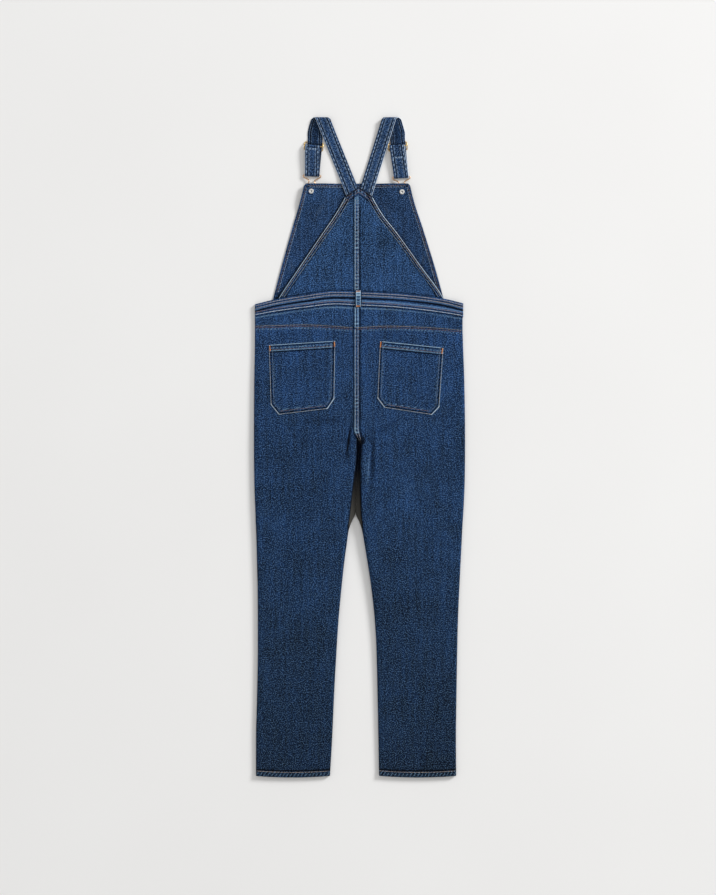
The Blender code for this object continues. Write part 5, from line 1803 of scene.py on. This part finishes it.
HOOK_OUTLINE = table(
    "down half_width height",
    (0.0, 8.0, 0.0),
    (0.0, 16.7, 0.0),
    (1.1, 19.0, 0.0),
    (3.6, 19.5, 0.0),
    (5.9, 17.6, 0.1),
    (8.6, 12.2, 0.4),
    (11.0, 7.8, 0.7),
    (13.6, 5.9, 1.0),
    (17.0, 6.6, 1.2),
    (21.5, 9.4, 1.2),
    (26.0, 10.2, 1.2),
    (31.0, 8.3, 1.2),
    (35.5, 5.6, 1.2),
    (39.0, 4.7, 1.2),
    (41.2, 3.2, 1.2),
    (42.2, 1.0, 1.2),
)
HOOK_AIM = 16.0             # the hook has turned toward its button this far down
SHANK_RADIUS = 3.5

rose_gold = make_metal("rose gold", (0.72, 0.47, 0.29), (0.46, 0.28, 0.16), 0.2)
for side, plan in STRAPS.items():
    button = BUTTON_PLACES[side]
    length = math.dist(plan["hook"], button) + SHANK_RADIUS + SEAM_GAP + WIRE / 2
    stretch = length / HOOK_OUTLINE["down"][-1]
    toward = np.subtract(button, plan["hook"])
    aim = math.degrees(math.atan2(toward[0], -toward[1]))
    right_half = list(zip(*HOOK_OUTLINE.values()))
    points = []
    for way, half in ((1, right_half), (-1, reversed(right_half))):
        for down, along, rise in half:
            tilt = mix(plan["hook_tilt"], aim, float(smooth(down / HOOK_AIM)))
            place = turned(plan["hook"], tilt, way * along, down * stretch, HOOK_BAR_HEIGHT + rise)
            points.append(place)
    hook = bend_wire(f"hook_{side}_wire", points, True)
    hook.data.materials.append(rose_gold)
    place_piece(hook, "rose_gold", f"hook_{side}")

# --- Buttons and tacks ------------------------------------------------------------------
# A pressed cap stands on a hollow shank under each upper corner of the bib, and a dimpled
# tack is driven through the cloth from the inside, into the shank.

CAP_RADIUS = 8.5
CAP_RIM = 1.3               # how wide its rim is
CAP_SUNK = 0.5              # and how far it stands out round the face
CAP_BEVEL = 3.4             # how far in the face's middle lies
CAP_MIDDLE = 0.35           # and how far it stands out again
SHANK_FLOOR = CAP_HEIGHT + 0.4
TACK_RADIUS = 5.4
TACK_HEIGHT = 1.2
TACK_CLEAR = 0.15
TACK_RIM = 0.9
TACK_CROWN = 0.15           # how much its middle stands above its rim
DIMPLE_BEVEL = 2.6          # how far in from the rim its dimple is
DIMPLE_DEPTH = 0.9
DIMPLE = 1.7                # radius of the dimple's dark foot
NAIL_RADIUS = 1.2
NAIL_END = CAP_HEIGHT + 0.7
RIM_ROUND = 0.22


def pick_faces(item, level, tolerance=0.05):
    """Select the level faces of a piece that lie at one height, and nothing else."""
    bpy.ops.object.mode_set(mode="EDIT")
    bpy.ops.mesh.select_mode(type="FACE")
    bpy.ops.mesh.select_all(action="DESELECT")
    bpy.ops.object.mode_set(mode="OBJECT")
    for face in item.data.polygons:
        world = item.matrix_world @ face.center
        face.select = abs(world.z / MM - level) < tolerance and abs(face.normal.z) > 0.9
    bpy.ops.object.mode_set(mode="EDIT")


def draw_in(width, rise):
    """Inset the picked faces by a width and raise what is left of them."""
    bpy.ops.mesh.inset(thickness=width * MM)
    bpy.ops.transform.translate(value=(0, 0, rise * MM))


def draw_out(width, rise):
    """Inset the picked faces by a width and extrude what is left of them."""
    bpy.ops.mesh.inset(thickness=width * MM)
    bpy.ops.mesh.extrude_region_move(TRANSFORM_OT_translate={"value": (0, 0, rise * MM)})


def add_disc(name, place, radius, low, high):
    """A round blank for a cap or a tack, at its size and place."""
    bpy.ops.object.select_all(action="DESELECT")
    middle = Vector((*place, (low + high) / 2)) * MM
    bpy.ops.mesh.primitive_cylinder_add(
        vertices=48, radius=radius * MM, depth=(high - low) * MM, location=middle
    )
    disc = bpy.context.object
    disc.name = name
    return disc


def settle(item, material):
    """Place the piece's mesh where it lies, round its rims and give it its finish."""
    bpy.ops.object.mode_set(mode="OBJECT")
    bpy.ops.object.transform_apply(location=True, rotation=True, scale=True)
    rim = item.modifiers.new("Rim", "BEVEL")
    rim.width = RIM_ROUND * MM
    rim.segments = 3
    rim.limit_method = "ANGLE"
    rim.angle_limit = math.radians(30)
    bpy.ops.object.modifier_apply(modifier=rim.name)
    item.data.materials.append(material)
    bpy.ops.object.shade_smooth_by_angle(angle=math.radians(35))


silver = make_metal("silver", (0.90, 0.90, 0.89), (0.62, 0.62, 0.61), 0.3)
tarnish = make_metal("tarnished silver", (0.16, 0.16, 0.17), (0.07, 0.07, 0.08), 0.6)
for side, place in BUTTON_PLACES.items():
    shank_top = BIB_LIFT - SEAM_GAP
    button = add_disc(f"button_{side}_cap", place, CAP_RADIUS, 0.0, CAP_HEIGHT)
    pick_faces(button, 0.0)
    draw_in(CAP_RIM, CAP_SUNK)
    pick_faces(button, CAP_SUNK)
    draw_in(CAP_BEVEL, -CAP_MIDDLE)
    pick_faces(button, CAP_HEIGHT)
    draw_out(CAP_RADIUS - SHANK_RADIUS, shank_top - CAP_HEIGHT)
    draw_out(SHANK_RADIUS - NAIL_RADIUS - SEAM_GAP, SHANK_FLOOR - shank_top)
    settle(button, rose_gold)
    place_piece(button, "rose_gold", f"button_{side}")

    seat = BIB_LIFT + WALL + TACK_CLEAR
    tack = add_disc(f"tack_{side}_head", place, TACK_RADIUS, seat, seat + TACK_HEIGHT)
    pick_faces(tack, seat + TACK_HEIGHT)
    draw_in(TACK_RIM, TACK_CROWN)
    draw_out(DIMPLE_BEVEL, -DIMPLE_DEPTH)
    pick_faces(tack, seat)
    draw_out(TACK_RADIUS - NAIL_RADIUS, NAIL_END - seat)
    settle(tack, silver)
    tack.data.materials.append(tarnish)
    for face in tack.data.polygons:
        face.material_index = math.dist(face.center[:2], Vector(place) * MM) < DIMPLE * MM
    place_piece(tack, "silver", f"tack_{side}")

# --- Finished size ----------------------------------------------------------------------
low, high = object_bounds()
sizes = {"cad": [list(cad_low), list(cad_high)], "visual": [list(low), list(high)]}
